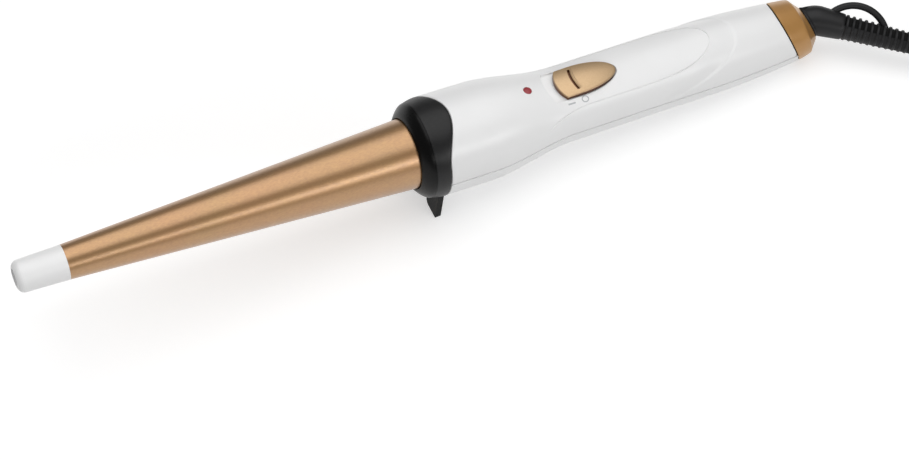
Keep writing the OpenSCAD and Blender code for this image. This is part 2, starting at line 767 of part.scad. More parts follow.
// One moulding: round base, elbow, neck, ribbed relief with its two webs, and the hanging loop.
module cord_relief() {
    tangent = elbow_r * tan(elbow_bend / 2);
    base_x = shoulder_h + 0.3;
    loop_r = 12.4;
    loop_x = relief_from + 4.2;
    loop_z = -3.6;
    laid_down() color("#2a2b2d") {
        at_swivel() ring(base_x, 1.2, boot_r, boot_r - 0.3);
        difference() {
            at_swivel() rotate([-cord_turn, 0, 0]) translate([elbow_x - tangent, 0, -elbow_r])
                rotate([90, 0, 0]) rotate([0, 0, 90 - elbow_bend]) rotate_extrude(angle = elbow_bend)
                    translate([elbow_r, 0]) circle(r = neck_r + 0.4, $fn = 48);
            at_swivel() ring(-5, 5 + base_x, 20, 20);
        }
        at_relief() along_x() rotate_extrude() polygon(concat(
            [[0, tangent], [neck_r + 0.4, tangent], [neck_r, relief_from - 2]],
            [for (i = [0:rib_count - 1]) let (x = relief_from + i * rib_pitch, back = x + rib_t) each
                [[core_r(x), x], [rib_radius(i), x], [rib_radius(i), back], [core_r(back), back]]],
            [[core_r(relief_end), relief_end], [cord_d / 2, relief_end],
             [cord_d / 2, relief_end - 8], [0, relief_end - 8]]));
        at_relief() webs();
        at_relief() translate([loop_x, 0, loop_z]) rotate([90, 0, 0]) rotate([0, 0, 20])
            rotate_extrude(angle = 140) translate([loop_r, 0]) circle(r = 1.3, $fn = 24);
    }
}

// Two webs that tie the ribs together along both sides of the relief.
module webs() {
    near = 0.84 * (rib_r - 0.2);
    far = 0.84 * (rib_end_r - 0.2);
    start = relief_from - 0.5;
    end = relief_end - 9;
    translate([0, 0, -2.9]) linear_extrude(height = 3.4)
        polygon([[start, -near], [end, -far], [end, far], [start, near]]);
}

function core_r(x) = rib_r - 0.75 + (rib_end_r - 0.35 - rib_r + 0.75) * (x - relief_from) / relief_len;
function rib_radius(i) = rib_r + (rib_end_r - rib_r) * i / (rib_count - 1);

// ---------------------------------------------------------------- cord and plug

// Point at k of the way from p1 to p2 on a smooth curve that also minds its two neighbours.
function between(p0, p1, p2, p3, k) =
    0.5 * (2 * p1 + (p2 - p0) * k + (2 * p0 - 5 * p1 + 4 * p2 - p3) * k * k
        + (3 * p1 - p0 - 3 * p2 + p3) * k * k * k);
function route(p, fine) = let (n = len(p)) [
    for (i = [0:n - 2], j = [0:fine - 1])
        between(p[max(i - 1, 0)], p[i], p[i + 1], p[min(i + 2, n - 1)], j / fine),
    p[n - 1]];
function unit(v) = v / norm(v);

// Round tube with ten sides along a route, closed at both ends.
module tube(p, r) {
    sides = 10;
    n = len(p);
    points = [for (i = [0:n - 1])
        let (ahead = unit(p[min(i + 1, n - 1)] - p[max(i - 1, 0)]),
             across = unit(cross(ahead, [0, 0, 1])), over = cross(across, ahead))
        for (j = [0:sides - 1]) p[i] + r * (cos(36 * j) * across + sin(36 * j) * over)];
    sleeve = [for (i = [0:n - 2], j = [0:sides - 1]) let (a = i * sides + j, b = i * sides + (j + 1) % sides)
        each [[a, b, b + sides], [a, b + sides, a + sides]]];
    polyhedron(points = points, faces = concat(sleeve,
        [[for (j = [sides - 1:-1:0]) j]], [[for (j = [0:sides - 1]) (n - 1) * sides + j]]));
}

module cord_lead() {
    color("#2b2c2e") tube(route(lead_route, 1), cord_d / 2);
}

module cord_tail() {
    color("#2b2c2e") tube(route(tail_route, 1), cord_d / 2);
}

// Outer shape of the coil: a flat ring.
module cord_coil() {
    half = (coil_turns + 1) * cord_d / 2;
    color("#2b2c2e") translate(coil_at) rotate_extrude()
        translate([coil_mean_r - half, 0]) square([2 * half, coil_layers * cord_d]);
}

// Strip that ties the coil's turns together.
module cord_tie() {
    half = (coil_turns + 1) * cord_d / 2 + 0.3;
    high = coil_layers * cord_d + 0.2;
    color("#1b1b1c") translate([coil_at[0], coil_at[1], 0]) rotate([0, 0, tie_turn])
        translate([coil_mean_r, tie_w / 2, tie_t]) rotate([90, 0, 0]) linear_extrude(height = tie_w)
            difference() {
                translate([-half - tie_t, -tie_t]) square([2 * (half + tie_t), high + 2 * tie_t]);
                translate([-half, 0]) square([2 * half, high]);
            }
}

// Moves to the plug: x towards its pins, from the end of its strain relief.
module at_plug() {
    translate(plug_at + [0, 0, plug_t / 2]) children();
}

// Flat plug: waisted body with a slanted front, rounded edges and a tapered strain relief.
module plug_body() {
    nose = 14;
    r = 5;
    color("#262729") at_plug() {
        hull() {
            for (y = [-1, 1], x = [nose + 3 + r, nose + plug_len - 2.4])
                translate([x, y * (plug_w / 2 - (x > nose + 20 ? 2.4 : 9)), 0])
                    cylinder(h = plug_t - 3, r = x > nose + 20 ? 2.4 : r, center = true, $fn = 32);
            for (y = [-1, 1], x = [nose + 3 + r, nose + plug_len - 3.9])
                translate([x, y * (plug_w / 2 - (x > nose + 20 ? 3.9 : 9)), 0])
                    cylinder(h = plug_t, r = x > nose + 20 ? 2.4 : 3.5, center = true, $fn = 32);
        }
        ring(0, nose + 5, cord_d / 2 + 0.9, cord_d / 2 + 2.6, 0);
    }
}

// Two round pins of the plug.
module plug_pins() {
    base = 14 + plug_len;
    color(steel) at_plug() for (s = [-1, 1]) translate([base, s * pin_gap / 2, 0]) {
        ring(0, pin_len - 1, pin_r, pin_r);
        ring(pin_len - 1, 1, pin_r, pin_r - 1);
    }
}

tip_cap();
tip_screw();
barrel();
lower_heater_shoe();
upper_heater_shoe();
ptc_elements();
insulation_film();
thermal_fuse();
barrel_bush();
heater_leads();
bezel_ring();
collar_band();
collar_sleeve();
stand_foot();
upper_shell();
lower_shell();
led_lens();
led();
circuit_board();
dropper_capacitor();
board_parts();
slide_switch();
switch_cap();
switch_slider();
switch_knob();
supply_leads();
contact_carrier();
contact_springs();
end_cap();
swivel_core();
slip_rings();
cord_relief();
cord_lead();
cord_coil();
cord_tail();
cord_tie();
plug_body();
plug_pins();
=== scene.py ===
import json
import math

import bmesh
import bpy
from mathutils import Matrix, Vector
from mathutils.geometry import interpolate_bezier


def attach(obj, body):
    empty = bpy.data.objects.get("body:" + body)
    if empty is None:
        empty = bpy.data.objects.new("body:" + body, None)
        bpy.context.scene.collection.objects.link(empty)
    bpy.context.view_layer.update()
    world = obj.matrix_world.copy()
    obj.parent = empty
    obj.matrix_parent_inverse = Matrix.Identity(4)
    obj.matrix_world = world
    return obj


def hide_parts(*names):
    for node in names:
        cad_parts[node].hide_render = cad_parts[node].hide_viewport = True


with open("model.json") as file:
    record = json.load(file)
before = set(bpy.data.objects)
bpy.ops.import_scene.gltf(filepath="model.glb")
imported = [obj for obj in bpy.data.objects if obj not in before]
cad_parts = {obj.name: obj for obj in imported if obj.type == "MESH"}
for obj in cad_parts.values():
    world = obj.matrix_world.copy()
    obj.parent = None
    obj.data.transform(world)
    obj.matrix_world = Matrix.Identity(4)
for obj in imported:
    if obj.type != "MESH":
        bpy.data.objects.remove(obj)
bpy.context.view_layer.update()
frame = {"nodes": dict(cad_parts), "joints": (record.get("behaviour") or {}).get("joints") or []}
MM = 0.001


# ---------------------------------------------------------------- camera
# A long lens looks down on the wand from in front of it and a little from its tip end.


def put(name, data):
    """A new object in the scene, with that data."""
    made = bpy.data.objects.new(name, data)
    bpy.context.scene.collection.objects.link(made)
    return made


camera_data = bpy.data.cameras.new("camera")
camera_data.lens = 86.73
camera_data.sensor_width = 36
camera_data.clip_start = 0.01
camera = put("camera", camera_data)
camera.location = (-0.18209, -0.38292, 0.65414)
camera.rotation_euler = (math.radians(31.660), math.radians(-0.965), math.radians(-24.830))
bpy.context.scene.camera = camera


# ---------------------------------------------------------------- cord
# Round mains lead: two cores in a black vinyl sheath, extruded, 5.4 mm across and 1.85 m long. It leaves
# the ribbed relief, comes down to the table and is coiled in two layers, with the plug lying on the coil.

CORD_D = 5.4
LEAD = [(190.9, -30.6, 8.9), (197.2, -35.5, 8.2), (204.5, -41.1, 7.4), (212.5, -47, 6.1), (221.5, -53, 4.6),
        (230.5, -58, 3.6), (239.5, -61.6, 3.3), (247.5, -63.2, 3.3)]
TAIL = [(212.8, -30.2, 11.9), (218.4, -38.7, 14.2), (226.9, -44.3, 16.5), (234, -46.1, 17.9),
        (238.8, -46.3, 18.3)]
COIL_AT = (254, -20.3)
COIL_TURNS, TURN_POINTS = 4, 24
COIL_INNER = 21.6
COIL_OUTER = COIL_INNER + COIL_TURNS * CORD_D
LOW_LAYER, HIGH_LAYER = 3.3, 3.3 + CORD_D


def linear(hex_colour):
    """The linear colour that shaders take, from an sRGB hex colour."""
    parts = [int(hex_colour[i:i + 2], 16) / 255 for i in (1, 3, 5)]
    return tuple(p / 12.92 if p <= 0.04045 else ((p + 0.055) / 1.055) ** 2.4 for p in parts) + (1.0,)


def add_node(owner, kind, settings=None, **inputs):
    """Adds one node to a material or a tree, from its properties and its sockets' values or sources."""
    tree = owner.node_tree if isinstance(owner, bpy.types.Material) else owner
    node = tree.nodes.new(kind)
    for name, value in (settings or {}).items():
        setattr(node, name, value)
    for name, value in inputs.items():
        socket = node.inputs[int(name[1:])] if name[0] == "_" else node.inputs[name.replace("_", " ")]
        if isinstance(value, bpy.types.NodeSocket):
            tree.links.new(value, socket)
        else:
            socket.default_value = value
    return node


def new_material(name, **sockets):
    """A material with a Principled shader, and the plain values of its sockets."""
    material = bpy.data.materials.new(name)
    material.use_nodes = True
    for socket, value in sockets.items():
        material.node_tree.nodes["Principled BSDF"].inputs[socket.replace("_", " ")].default_value = value
    return material


def feed(material, **sources):
    """Links outputs to the shader's sockets of those names."""
    tree = material.node_tree
    for socket, source in sources.items():
        tree.links.new(source, tree.nodes["Principled BSDF"].inputs[socket.replace("_", " ")])


def grained(name, low, high, roughness, spread, grain_mm, bump_mm, **sockets):
    """A finish whose colour drifts between low and high, with a fine grain in its gloss and its skin."""
    material = new_material(name, **sockets)
    place = add_node(material, "ShaderNodeTexCoord").outputs["Object"]
    drift = add_node(material, "ShaderNodeTexNoise", Vector=place, Scale=1 / (12 * MM), Detail=4.0)
    tint = add_node(material, "ShaderNodeMix", {"data_type": "RGBA"}, Factor=drift.outputs["Fac"],
                    _6=linear(low), _7=linear(high))
    grain = add_node(material, "ShaderNodeTexNoise", Vector=place, Scale=1 / (grain_mm * MM), Detail=2.0)
    gloss = add_node(material, "ShaderNodeMapRange", Value=grain.outputs["Fac"], From_Min=0.25, From_Max=0.75,
                     To_Min=roughness - spread, To_Max=roughness + spread)
    bump = add_node(material, "ShaderNodeBump", Height=grain.outputs["Fac"], Strength=0.5,
                    Distance=bump_mm * MM)
    feed(material, Base_Color=tint.outputs[2], Roughness=gloss.outputs[0], Normal=bump.outputs[0])
    return material


def dress(piece, material):
    """Gives a piece, or a CAD node by name, one material."""
    data = (frame["nodes"][piece] if isinstance(piece, str) else piece).data
    data.materials.clear()
    data.materials.append(material)


def wound(start, inner_first, height):
    """Points of one flat spiral of the coil, from a start angle, counter-clockwise seen from above."""
    points = TURN_POINTS * COIL_TURNS
    for i in range(points):
        k = i / (points - 1)
        angle = math.radians(start) + 2 * math.pi * COIL_TURNS * k
        radius = COIL_INNER + (k if inner_first else 1 - k) * (COIL_OUTER - COIL_INNER)
        yield (COIL_AT[0] + radius * math.cos(angle), COIL_AT[1] + radius * math.sin(angle), height)


def climb():
    """The innermost three quarters of a turn, where the cord climbs from the lower layer to the upper one."""
    points = TURN_POINTS * 3 // 4
    for i in range(1, points):
        k = i / points
        angle = math.radians(-90 + 270 * k)
        height = LOW_LAYER + (HIGH_LAYER - LOW_LAYER) * k * k * (3 - 2 * k)
        yield (COIL_AT[0] + COIL_INNER * math.cos(angle), COIL_AT[1] + COIL_INNER * math.sin(angle), height)


cord_points = [*LEAD, *wound(-90, False, LOW_LAYER), *climb(), *wound(180, True, HIGH_LAYER), *TAIL]
cord_curve = bpy.data.curves.new("mains_cord", "CURVE")
cord_curve.dimensions = "3D"
cord_curve.bevel_depth = CORD_D / 2 * MM
cord_curve.bevel_resolution = 5
cord_curve.resolution_u = 3
cord_curve.use_fill_caps = True
spline = cord_curve.splines.new("BEZIER")
spline.bezier_points.add(len(cord_points) - 1)
for knot, point in zip(spline.bezier_points, cord_points):
    knot.co = Vector(point) * MM
    knot.handle_left_type = knot.handle_right_type = "AUTO"
mains_cord = put("mains_cord", cord_curve)
bpy.context.view_layer.update()

knots = spline.bezier_points
cord_length = sum(
    (b - a).length
    for k in range(len(knots) - 1)
    for run in [interpolate_bezier(knots[k].co, knots[k].handle_right, knots[k + 1].handle_left,
                                   knots[k + 1].co, 8)]
    for a, b in zip(run, run[1:]))

# Extruded soft vinyl: dull black with a faint drawn grain.
dress(mains_cord, grained("extruded_black_vinyl", "#121213", "#19191a", 0.42, 0.04, 1.2, 0.02, IOR=1.52))
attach(mains_cord, "cord_swivel")
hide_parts("cord_lead", "cord_coil", "cord_tail")


# ---------------------------------------------------------------- handle shells
# Two half shells of glossy white ABS, injection moulded 2.2 mm thick and clipped together along the sides.
# The upper one has a flattened panel for the thumb, behind it a shallow scoop that ends in a soft arc,
# the pocket of the switch and the hole of the lamp.

HEAD_R, GRIP_R, WALL = 17.9, 13.75, 2.2
FRONT_X, HANDLE_END, GRIP_RISE = 132.3, 281.6, 1.4
RISE_FROM, RISE_LONG = 150, 90
WAIST_FROM, WAIST_LONG, DRAW_FROM = 149, 34, 242
TONGUE_LONG, TONGUE_TURN = 5, 64
JOINT_X, JOINT_GAP = 274.55, 0.2
SLANT = math.tan(math.radians(26))
PANEL_FROM, PANEL_MID, PANEL_END = 162, 203, 239.6
PANEL_HALF, PANEL_DEEP = 9.7, 2.05
PANEL_GROOVE_R, PANEL_GROOVE_FROM = 0.28, 169
SCOOP_END, SCOOP_BOW, SCOOP_DEEP = 250.4, 25, 0.4
POCKET_FRONT, POCKET_NOSE, POCKET_END, POCKET_HALF = 174.5, 186.6, 203.1, 6.5
POCKET_FLOOR, POCKET_WALL = 11.2, 1.4
SLOT_FROM, SLOT_TO, SLOT_HALF = 181.7, 193.7, 1.7
LAMP_X, LAMP_R = 167.8, 1.6
EDGE_R, PARTING_STEP = 0.35, 0.24

slide = next(j for j in frame["joints"] if j["name"] == "switch_slide")
swivel = next(j for j in frame["joints"] if j["name"] == "cord_swivel")
rearward = -Vector(slide["axis"])
upward = rearward.cross(Vector((0, 1, 0)))
tip_joint = Vector(swivel["pos_m"]) - (rearward * HANDLE_END + upward * GRIP_RISE) * MM


def laid(x, y, z):
    """A point of the wand as it rests, from its place along, across and above the barrel, in mm."""
    return tip_joint + (rearward * x + Vector((0, 1, 0)) * y + upward * z) * MM


def around(turn):
    """Cosine and sine of a direction in degrees."""
    return math.cos(math.radians(turn)), math.sin(math.radians(turn))


def at_turn(x, turn, r, up=0):
    """A point of the wand at a distance r from its axis, in the direction turn (90 is up)."""
    c, s = around(turn)
    return laid(x, r * c, up + r * s)


def smooth(t):
    """An even S from 0 to 1."""
    t = min(max(t, 0), 1)
    return t * t * (3 - 2 * t)


def rise(x):
    """How far the middle of the handle lies above the middle of the barrel."""
    return GRIP_RISE * smooth((x - RISE_FROM) / RISE_LONG)


def side_r(x):
    """Radius of the handle's sides: head, waist, grip and the draw towards the end cap."""
    waist = (HEAD_R - GRIP_R) * smooth((x - WAIST_FROM) / WAIST_LONG)
    return HEAD_R - waist - 0.0112 * max(x - DRAW_FROM, 0) ** 1.5


def panel(x):
    """Depth and half width of the flattened panel at a station."""
    if x < PANEL_MID:
        half = PANEL_HALF + 0.0125 * max(188 - x, 0) ** 2
        return PANEL_DEEP * smooth((x - PANEL_FROM) / 34), min(half, 0.95 * side_r(x))
    k = min((x - PANEL_MID) / (PANEL_END - PANEL_MID), 1)
    return PANEL_DEEP * (1 - k ** 1.6), PANEL_HALF * math.sqrt(1 - k ** 4)


def scoop(x, turn):
    """How far the shallow scoop behind the panel lies below the round grip, in mm."""
    ahead = SCOOP_END - SCOOP_BOW * (abs(90 - turn) / 81) ** 2.5 - x
    along = smooth(ahead / 1.1) * (1 - smooth((ahead - 1.3) / 12))
    return SCOOP_DEEP * along * smooth((min(turn, 180 - turn) - 3) / 9)


def skin(x, turn):
    """Distance of the skin from the middle of the handle, in the direction turn (90 is up)."""
    r = side_r(x)
    depth, half = panel(x)
    c, s = around(turn)
    if s <= 0:
        return r
    if depth < 0.02 or half < 0.5 or abs(r * c) >= half:
        return r - (scoop(x, turn) if x > 212 else 0)
    h = r - math.sqrt(r * r - half * half) - depth
    big = (half * half + h * h) / (2 * max(h, 0.05))
    drop = big - (r - depth)
    return min(r, -drop * s + math.sqrt(max((drop * s) ** 2 + big * big - drop * drop, 0)))


def front_edge(turn):
    """Front edge of the shells: the band's tongue reaches back over the top."""
    away = abs(turn - 90)
    if away >= TONGUE_TURN:
        return FRONT_X
    return FRONT_X + TONGUE_LONG * (1 + math.cos(math.pi * away / TONGUE_TURN)) / 2


def rear_edge(turn, depth=0):
    """Rear edge of the shells: a plane that leans forwards towards the top."""
    s = around(turn)[1]
    guess = JOINT_X - (12 - depth) * s * SLANT
    return JOINT_X + (GRIP_RISE - rise(guess) - (skin(guess, turn) - depth) * s) * SLANT - JOINT_GAP


def crease_turn(x):
    """Direction of the panel's edge, which one column of the upper skin follows."""
    even = 52.5
    crease = min(math.degrees(math.acos(min(panel(x)[1] / side_r(x), 0.95))), 72)
    return even + smooth((x - PANEL_FROM) / 12) * (1 - smooth((x - PANEL_END) / 10)) * (crease - even)


def join(bm, rows, ringed=True):
    """Faces between each row of vertices and the next. Where ringed, a row's end meets its start."""
    for a, b in zip(rows, rows[1:]):
        for j in range(len(a) if ringed else len(a) - 1):
            n = (j + 1) % len(a)
            bm.faces.new((a[j], a[n], b[n], b[j]))


def outward(bm):
    """Turns the faces outwards, and hands the mesh back."""
    bmesh.ops.recalc_face_normals(bm, faces=bm.faces)
    return bm


def shell_mesh(upper, rows, columns):
    """Closed shell with rounded edges: an outer and an inner grid of points, joined along their borders."""
    round_in = [0, 0.04, 0.13, EDGE_R]
    flank = columns * 7 // 24
    between = rows - 2 * len(round_in) + 2
    # Rows stand closer together from the end of the switch to the end of the scoop.
    spans = [1 if 0.6 < i / between < 0.87 else 2.6 for i in range(between)]
    stations = [sum(spans[:i]) / sum(spans) for i in range(between + 1)]

    def direction(j, x):
        if not upper:
            return 180 + 180 * j / columns
        edge = crease_turn(x)
        if j <= flank:
            return edge * j / flank
        if j >= columns - flank:
            return 180 - edge * (columns - j) / flank
        return edge + (180 - 2 * edge) * (j - flank) / (columns - 2 * flank)

    def place(i, j, inner):
        depth = WALL if inner else 0
        guess = direction(j, 200)
        for _ in range(4):
            first, last = front_edge(guess) + 0.05, rear_edge(guess, depth)
            if i < len(round_in):
                x, edge_x = first + round_in[i], round_in[i]
            elif i > rows - len(round_in):
                x, edge_x = last - round_in[rows - i], round_in[rows - i]
            else:
                k = stations[i - len(round_in) + 1]
                x, edge_x = first + EDGE_R + k * (last - first - 2 * EDGE_R), EDGE_R
            guess = direction(j, x)
        turn = guess
        border = min(j, columns - j)
        edge_y = EDGE_R
        if border < len(round_in):
            edge_y = round_in[border]
            step = math.degrees(edge_y + PARTING_STEP) / side_r(x)
            turn = (0 if upper else 180) + step if j < columns / 2 else (180 if upper else 360) - step
        c, s = around(turn)
        r = skin(x, turn)
        if inner:
            r -= WALL
            beside_pocket = POCKET_FRONT - 1.9 < x < POCKET_END + 1.5 and abs(r * c) < POCKET_HALF + 1.5
            if upper and beside_pocket:
                r = min(r, (POCKET_FLOOR - POCKET_WALL - rise(x)) / max(s, 0.1))
        else:
            for e in (edge_x, edge_y):
                r -= EDGE_R - math.sqrt(EDGE_R ** 2 - (EDGE_R - e) ** 2)
        return at_turn(x, turn, r, rise(x))

    bm = bmesh.new()
    grids = [[[bm.verts.new(place(i, j, inner)) for j in range(columns + 1)] for i in range(rows + 1)]
             for inner in (False, True)]
    for grid in grids:
        join(bm, grid, ringed=False)
    for end in (0, -1):
        join(bm, [grid[end] for grid in grids], ringed=False)
        join(bm, [[row[end] for row in grid] for grid in grids], ringed=False)
    return outward(bm)


def as_piece(name, bm):
    """Turns a bmesh into a smooth-shaded object, with edges kept sharp above 35 degrees."""
    mesh = bpy.data.meshes.new(name)
    bm.to_mesh(mesh)
    bm.free()
    mesh.shade_smooth()
    mesh.set_sharp_from_angle(angle=math.radians(35))
    return put(name, mesh)


def sleeve(bm, rings):
    """Closed body through rings of points, with a flat face on its first and its last."""
    rows = [[bm.verts.new(point) for point in ring] for ring in rings]
    join(bm, rows)
    for end in (0, -1):
        bm.faces.new(rows[end])
    return outward(bm)


def prism(outline, z0, z1):
    """Closed upright prism in the wand's own axes, as a cutter."""
    return sleeve(bmesh.new(), [[laid(x, y, z) for x, y in outline] for z in (z0, z1)])


def oblong(x0, x1, half):
    """Outline of a straight opening."""
    return [(x0, -half), (x1, -half), (x1, half), (x0, half)]


def cut(piece, cutter_mesh):
    """Takes a cutter out of a piece and keeps the result as its plain mesh."""
    cutter = put("cutter", bpy.data.meshes.new("cutter"))
    cutter_mesh.to_mesh(cutter.data)
    cutter_mesh.free()
    modifier = piece.modifiers.new("cut", "BOOLEAN")
    modifier.object, modifier.operation, modifier.solver = cutter, "DIFFERENCE", "EXACT"
    evaluated = piece.evaluated_get(bpy.context.evaluated_depsgraph_get())
    mesh = bpy.data.meshes.new_from_object(evaluated)
    piece.modifiers.clear()
    piece.data = mesh
    bpy.data.objects.remove(cutter)
    mesh.set_sharp_from_angle(angle=math.radians(35))


def drop_flakes(piece):
    """Takes out pairs of triangles that lie back to back on the same three points, which cutting leaves."""
    bm = bmesh.new()
    bm.from_mesh(piece.data)
    bmesh.ops.triangulate(bm, faces=bm.faces)
    bmesh.ops.remove_doubles(bm, verts=bm.verts, dist=1e-7)
    on_points = {}
    for face in bm.faces:
        on_points.setdefault(frozenset(face.verts), []).append(face)
    flakes = [face for pair in on_points.values() if len(pair) == 2 for face in pair]
    bmesh.ops.delete(bm, geom=flakes, context="FACES")
    bm.to_mesh(piece.data)
    bm.free()
    piece.data.set_sharp_from_angle(angle=math.radians(35))


def circle(centre, right, over, radius, sides):
    """Points of a circle in the plane of two directions, radius in mm."""
    return [centre + (right * c + over * s) * radius * MM
            for c, s in (around(360 * j / sides) for j in range(sides))]


def tube(bm, path, radius, sides=12):
    """Closed round tube along a path of points, radius in mm."""
    rings = []
    for i, point in enumerate(path):
        along = (path[min(i + 1, len(path) - 1)] - path[max(i - 1, 0)]).normalized()
        aside = along.cross(upward).normalized()
        rings.append(circle(point, aside, aside.cross(along), radius, sides))
    return sleeve(bm, rings)


def on_skin(x, y, lift):
    """A point on the upper skin at a station and a place across, lifted off it by so much."""
    turn = 90.0
    for _ in range(6):
        turn = math.degrees(math.acos(y / skin(x, turn)))
    return at_turn(x, turn, skin(x, turn) + lift, rise(x))


def panel_line():
    """Path of the fine groove round the panel: it rises out of the skin towards the head."""
    half_path = [(x / 2, panel(x / 2)[1]) for x in range(2 * PANEL_GROOVE_FROM, 2 * PANEL_MID)]
    half_path += [(PANEL_MID + (PANEL_END - PANEL_MID) * math.sqrt(s), PANEL_HALF * c)
                  for c, s in map(around, range(2, 89, 2))]
    whole = half_path + [(PANEL_END, 0)] + [(x, -y) for x, y in reversed(half_path)]
    return [on_skin(x, y, 0.3 - 0.42 * smooth((x - 166) / 13)) for x, y in whole]


def bullet(front, nose, end, half):
    """Outline of the switch's pocket and cap: a front bowed by 2 mm, straight sides and a long nose."""
    bow = half * half / 4 + 1
    swing = math.asin(half / bow)
    points = [(front + bow * (1 - math.cos(swing * t / 8)), bow * math.sin(swing * t / 8))
              for t in range(-8, 9)]
    return points + [(nose + (end - nose) * c, half * s) for c, s in map(around, range(90, -91, -6))]


upper_skin = as_piece("upper_skin", shell_mesh(True, 250, 96))
cut(upper_skin, tube(bmesh.new(), panel_line(), PANEL_GROOVE_R))
cut(upper_skin, prism(bullet(POCKET_FRONT, POCKET_NOSE, POCKET_END, POCKET_HALF), POCKET_FLOOR, 20))
cut(upper_skin, prism(oblong(SLOT_FROM, SLOT_TO, SLOT_HALF), 5, 15))
cut(upper_skin, prism([(LAMP_X + LAMP_R * c, LAMP_R * s) for c, s in map(around, range(0, 360, 8))], 5, 20))
drop_flakes(upper_skin)
lower_skin = as_piece("lower_skin", shell_mesh(False, 200, 72))

# Glossy white ABS from a polished mould: clear soft reflections over the faint waviness of a moulding.
shell_abs = grained("moulded_glossy_white_abs", "#f2f2f2", "#f5f5f5", 0.33, 0.03, 9, 0.012, IOR=1.53)
for half_shell, node in ((upper_skin, "upper_shell"), (lower_skin, "lower_shell")):
    dress(half_shell, shell_abs)
    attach(half_shell, "handle")
    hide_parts(node)


# ---------------------------------------------------------------- switch marks
# The dash and the ring beside the switch tell on from off. They are pad-printed on the white shell in
# one thin film of grey ink.

MARK_Y = -7.75
DASH_X, DASH_STEP, DASH_HALF = 180.6, 0.35, 0.27
CIRCLE_X, CIRCLE_IN, CIRCLE_OUT, CIRCLE_SQUASH = 187.3, 0.95, 1.38, 0.85
INK_SUNK, INK_PROUD = -0.05, 0.03


def printed(bm, rails, ends=(0, -1)):
    """A film of ink between two rails of (x, y) points, sunk a little into the skin, closed at its ends."""
    one, other = rails
    rows = [[bm.verts.new(on_skin(x, y, lift)) for x, y in rail]
            for rail, lift in ((one, INK_SUNK), (one, INK_PROUD), (other, INK_PROUD), (other, INK_SUNK))]
    join(bm, rows + rows[:1], ringed=False)
    for end in ends:
        bm.faces.new([row[end] for row in rows])


marks = bmesh.new()
printed(marks, [[(DASH_X + DASH_STEP * i, MARK_Y - 0.1 + side) for i in range(9)]
                for side in (-DASH_HALF, DASH_HALF)])
printed(marks, [[(CIRCLE_X + r * c, MARK_Y + 0.1 + CIRCLE_SQUASH * r * s)
                 for c, s in map(around, range(0, 361, 10))] for r in (CIRCLE_IN, CIRCLE_OUT)], ends=())
bmesh.ops.remove_doubles(marks, verts=marks.verts, dist=1e-6)
switch_marks = as_piece("switch_marks", outward(marks))

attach(switch_marks, "handle")

# Pad-printing ink: flat grey with the faint unevenness of a thin film.
dress(switch_marks, grained("grey_pad_printing_ink", "#bcbec0", "#c7c9cb", 0.5, 0.05, 0.5, 0.004, IOR=1.5))


# ---------------------------------------------------------------- tip
# The cool tip is a moulded cup of heat-proof white polyester on the narrow end of the cone. A pan-head
# screw of plated steel in its recess holds it.

# Satin white polyester: glass-filled, so its gloss is broken by a fine even grain.
dress("tip_cap", grained("moulded_satin_white_polyester", "#f9f9f9", "#fbfbfb", 0.42, 0.05, 0.6, 0.01,
                         IOR=1.57))
# Plain steel, on the screw and on the fuse in the cone: grey, with the fine dull grain of rolled metal.
steel = grained("zinc_plated_steel", "#9b9da0", "#a9abad", 0.34, 0.04, 0.5, 0.004, Metallic=1.0)
for node in ("tip_screw", "thermal_fuse"):
    dress(node, steel)


# ---------------------------------------------------------------- barrel
# The cone is drawn from aluminium, brushed and given a satin rose gold coating. Its wide end is held in
# the collar, and the heater sits inside it.

SPECKLE, CLOUD = 0.45, 18

# Satin coating on brushed aluminium: broad soft highlights along the cone with a fine bright speckle.
# The real grit is about 0.1 mm and is drawn at 0.45 mm, as coarse as it needs to be to show.
barrel_coat = new_material("rose_gold_coated_aluminium", Metallic=1.0, Coat_Weight=0.85,
                           Coat_Roughness=0.32, Coat_IOR=2.1)
place = add_node(barrel_coat, "ShaderNodeTexCoord").outputs["Object"]
lie = add_node(barrel_coat, "ShaderNodeMapping", Vector=place,
               Rotation=(0, math.atan2(rearward.z, rearward.x), 0), Scale=(0.45, 1, 1))
speckle = add_node(barrel_coat, "ShaderNodeTexNoise", Vector=lie.outputs[0], Scale=1 / (SPECKLE * MM),
                   Detail=2.0)
cloud = add_node(barrel_coat, "ShaderNodeTexNoise", Vector=place, Scale=1 / (CLOUD * MM), Detail=2.0)
coat_tone = add_node(barrel_coat, "ShaderNodeMix", {"data_type": "RGBA"}, Factor=speckle.outputs["Fac"],
                     _6=linear("#9f6c32"), _7=linear("#b88a4a"))
coat_drift = add_node(barrel_coat, "ShaderNodeMix", {"data_type": "RGBA", "blend_type": "MULTIPLY"},
                      Factor=0.12, _6=coat_tone.outputs[2], _7=cloud.outputs["Color"])
coat_gloss = add_node(barrel_coat, "ShaderNodeMapRange", Value=speckle.outputs["Fac"], From_Min=0.3,
                      From_Max=0.7, To_Min=0.44, To_Max=0.34)
coat_bump = add_node(barrel_coat, "ShaderNodeBump", Height=speckle.outputs["Fac"], Strength=0.35,
                     Distance=0.02 * MM)
feed(barrel_coat, Base_Color=coat_drift.outputs[2], Roughness=coat_gloss.outputs[0],
     Normal=coat_bump.outputs[0])
dress("barrel", barrel_coat)


# ---------------------------------------------------------------- collar and rest
# A front ring and a band of black heat-proof polyamide close the handle around the cone. The band's
# tongue reaches back over the top, and the two-footed rest is a plate held under it.

RIDGE_X, RIDGE_R = 127.1, 17.15
BEZEL_MOUTH, BEZEL_BACK, BEZEL_BORE = 12.8, 130.2, 15.95
BAND_BORE, BAND_GAP = 16.03, 0.12
REST_FROM, REST_TO, REST_HALF = 130.05, 140, 14.05


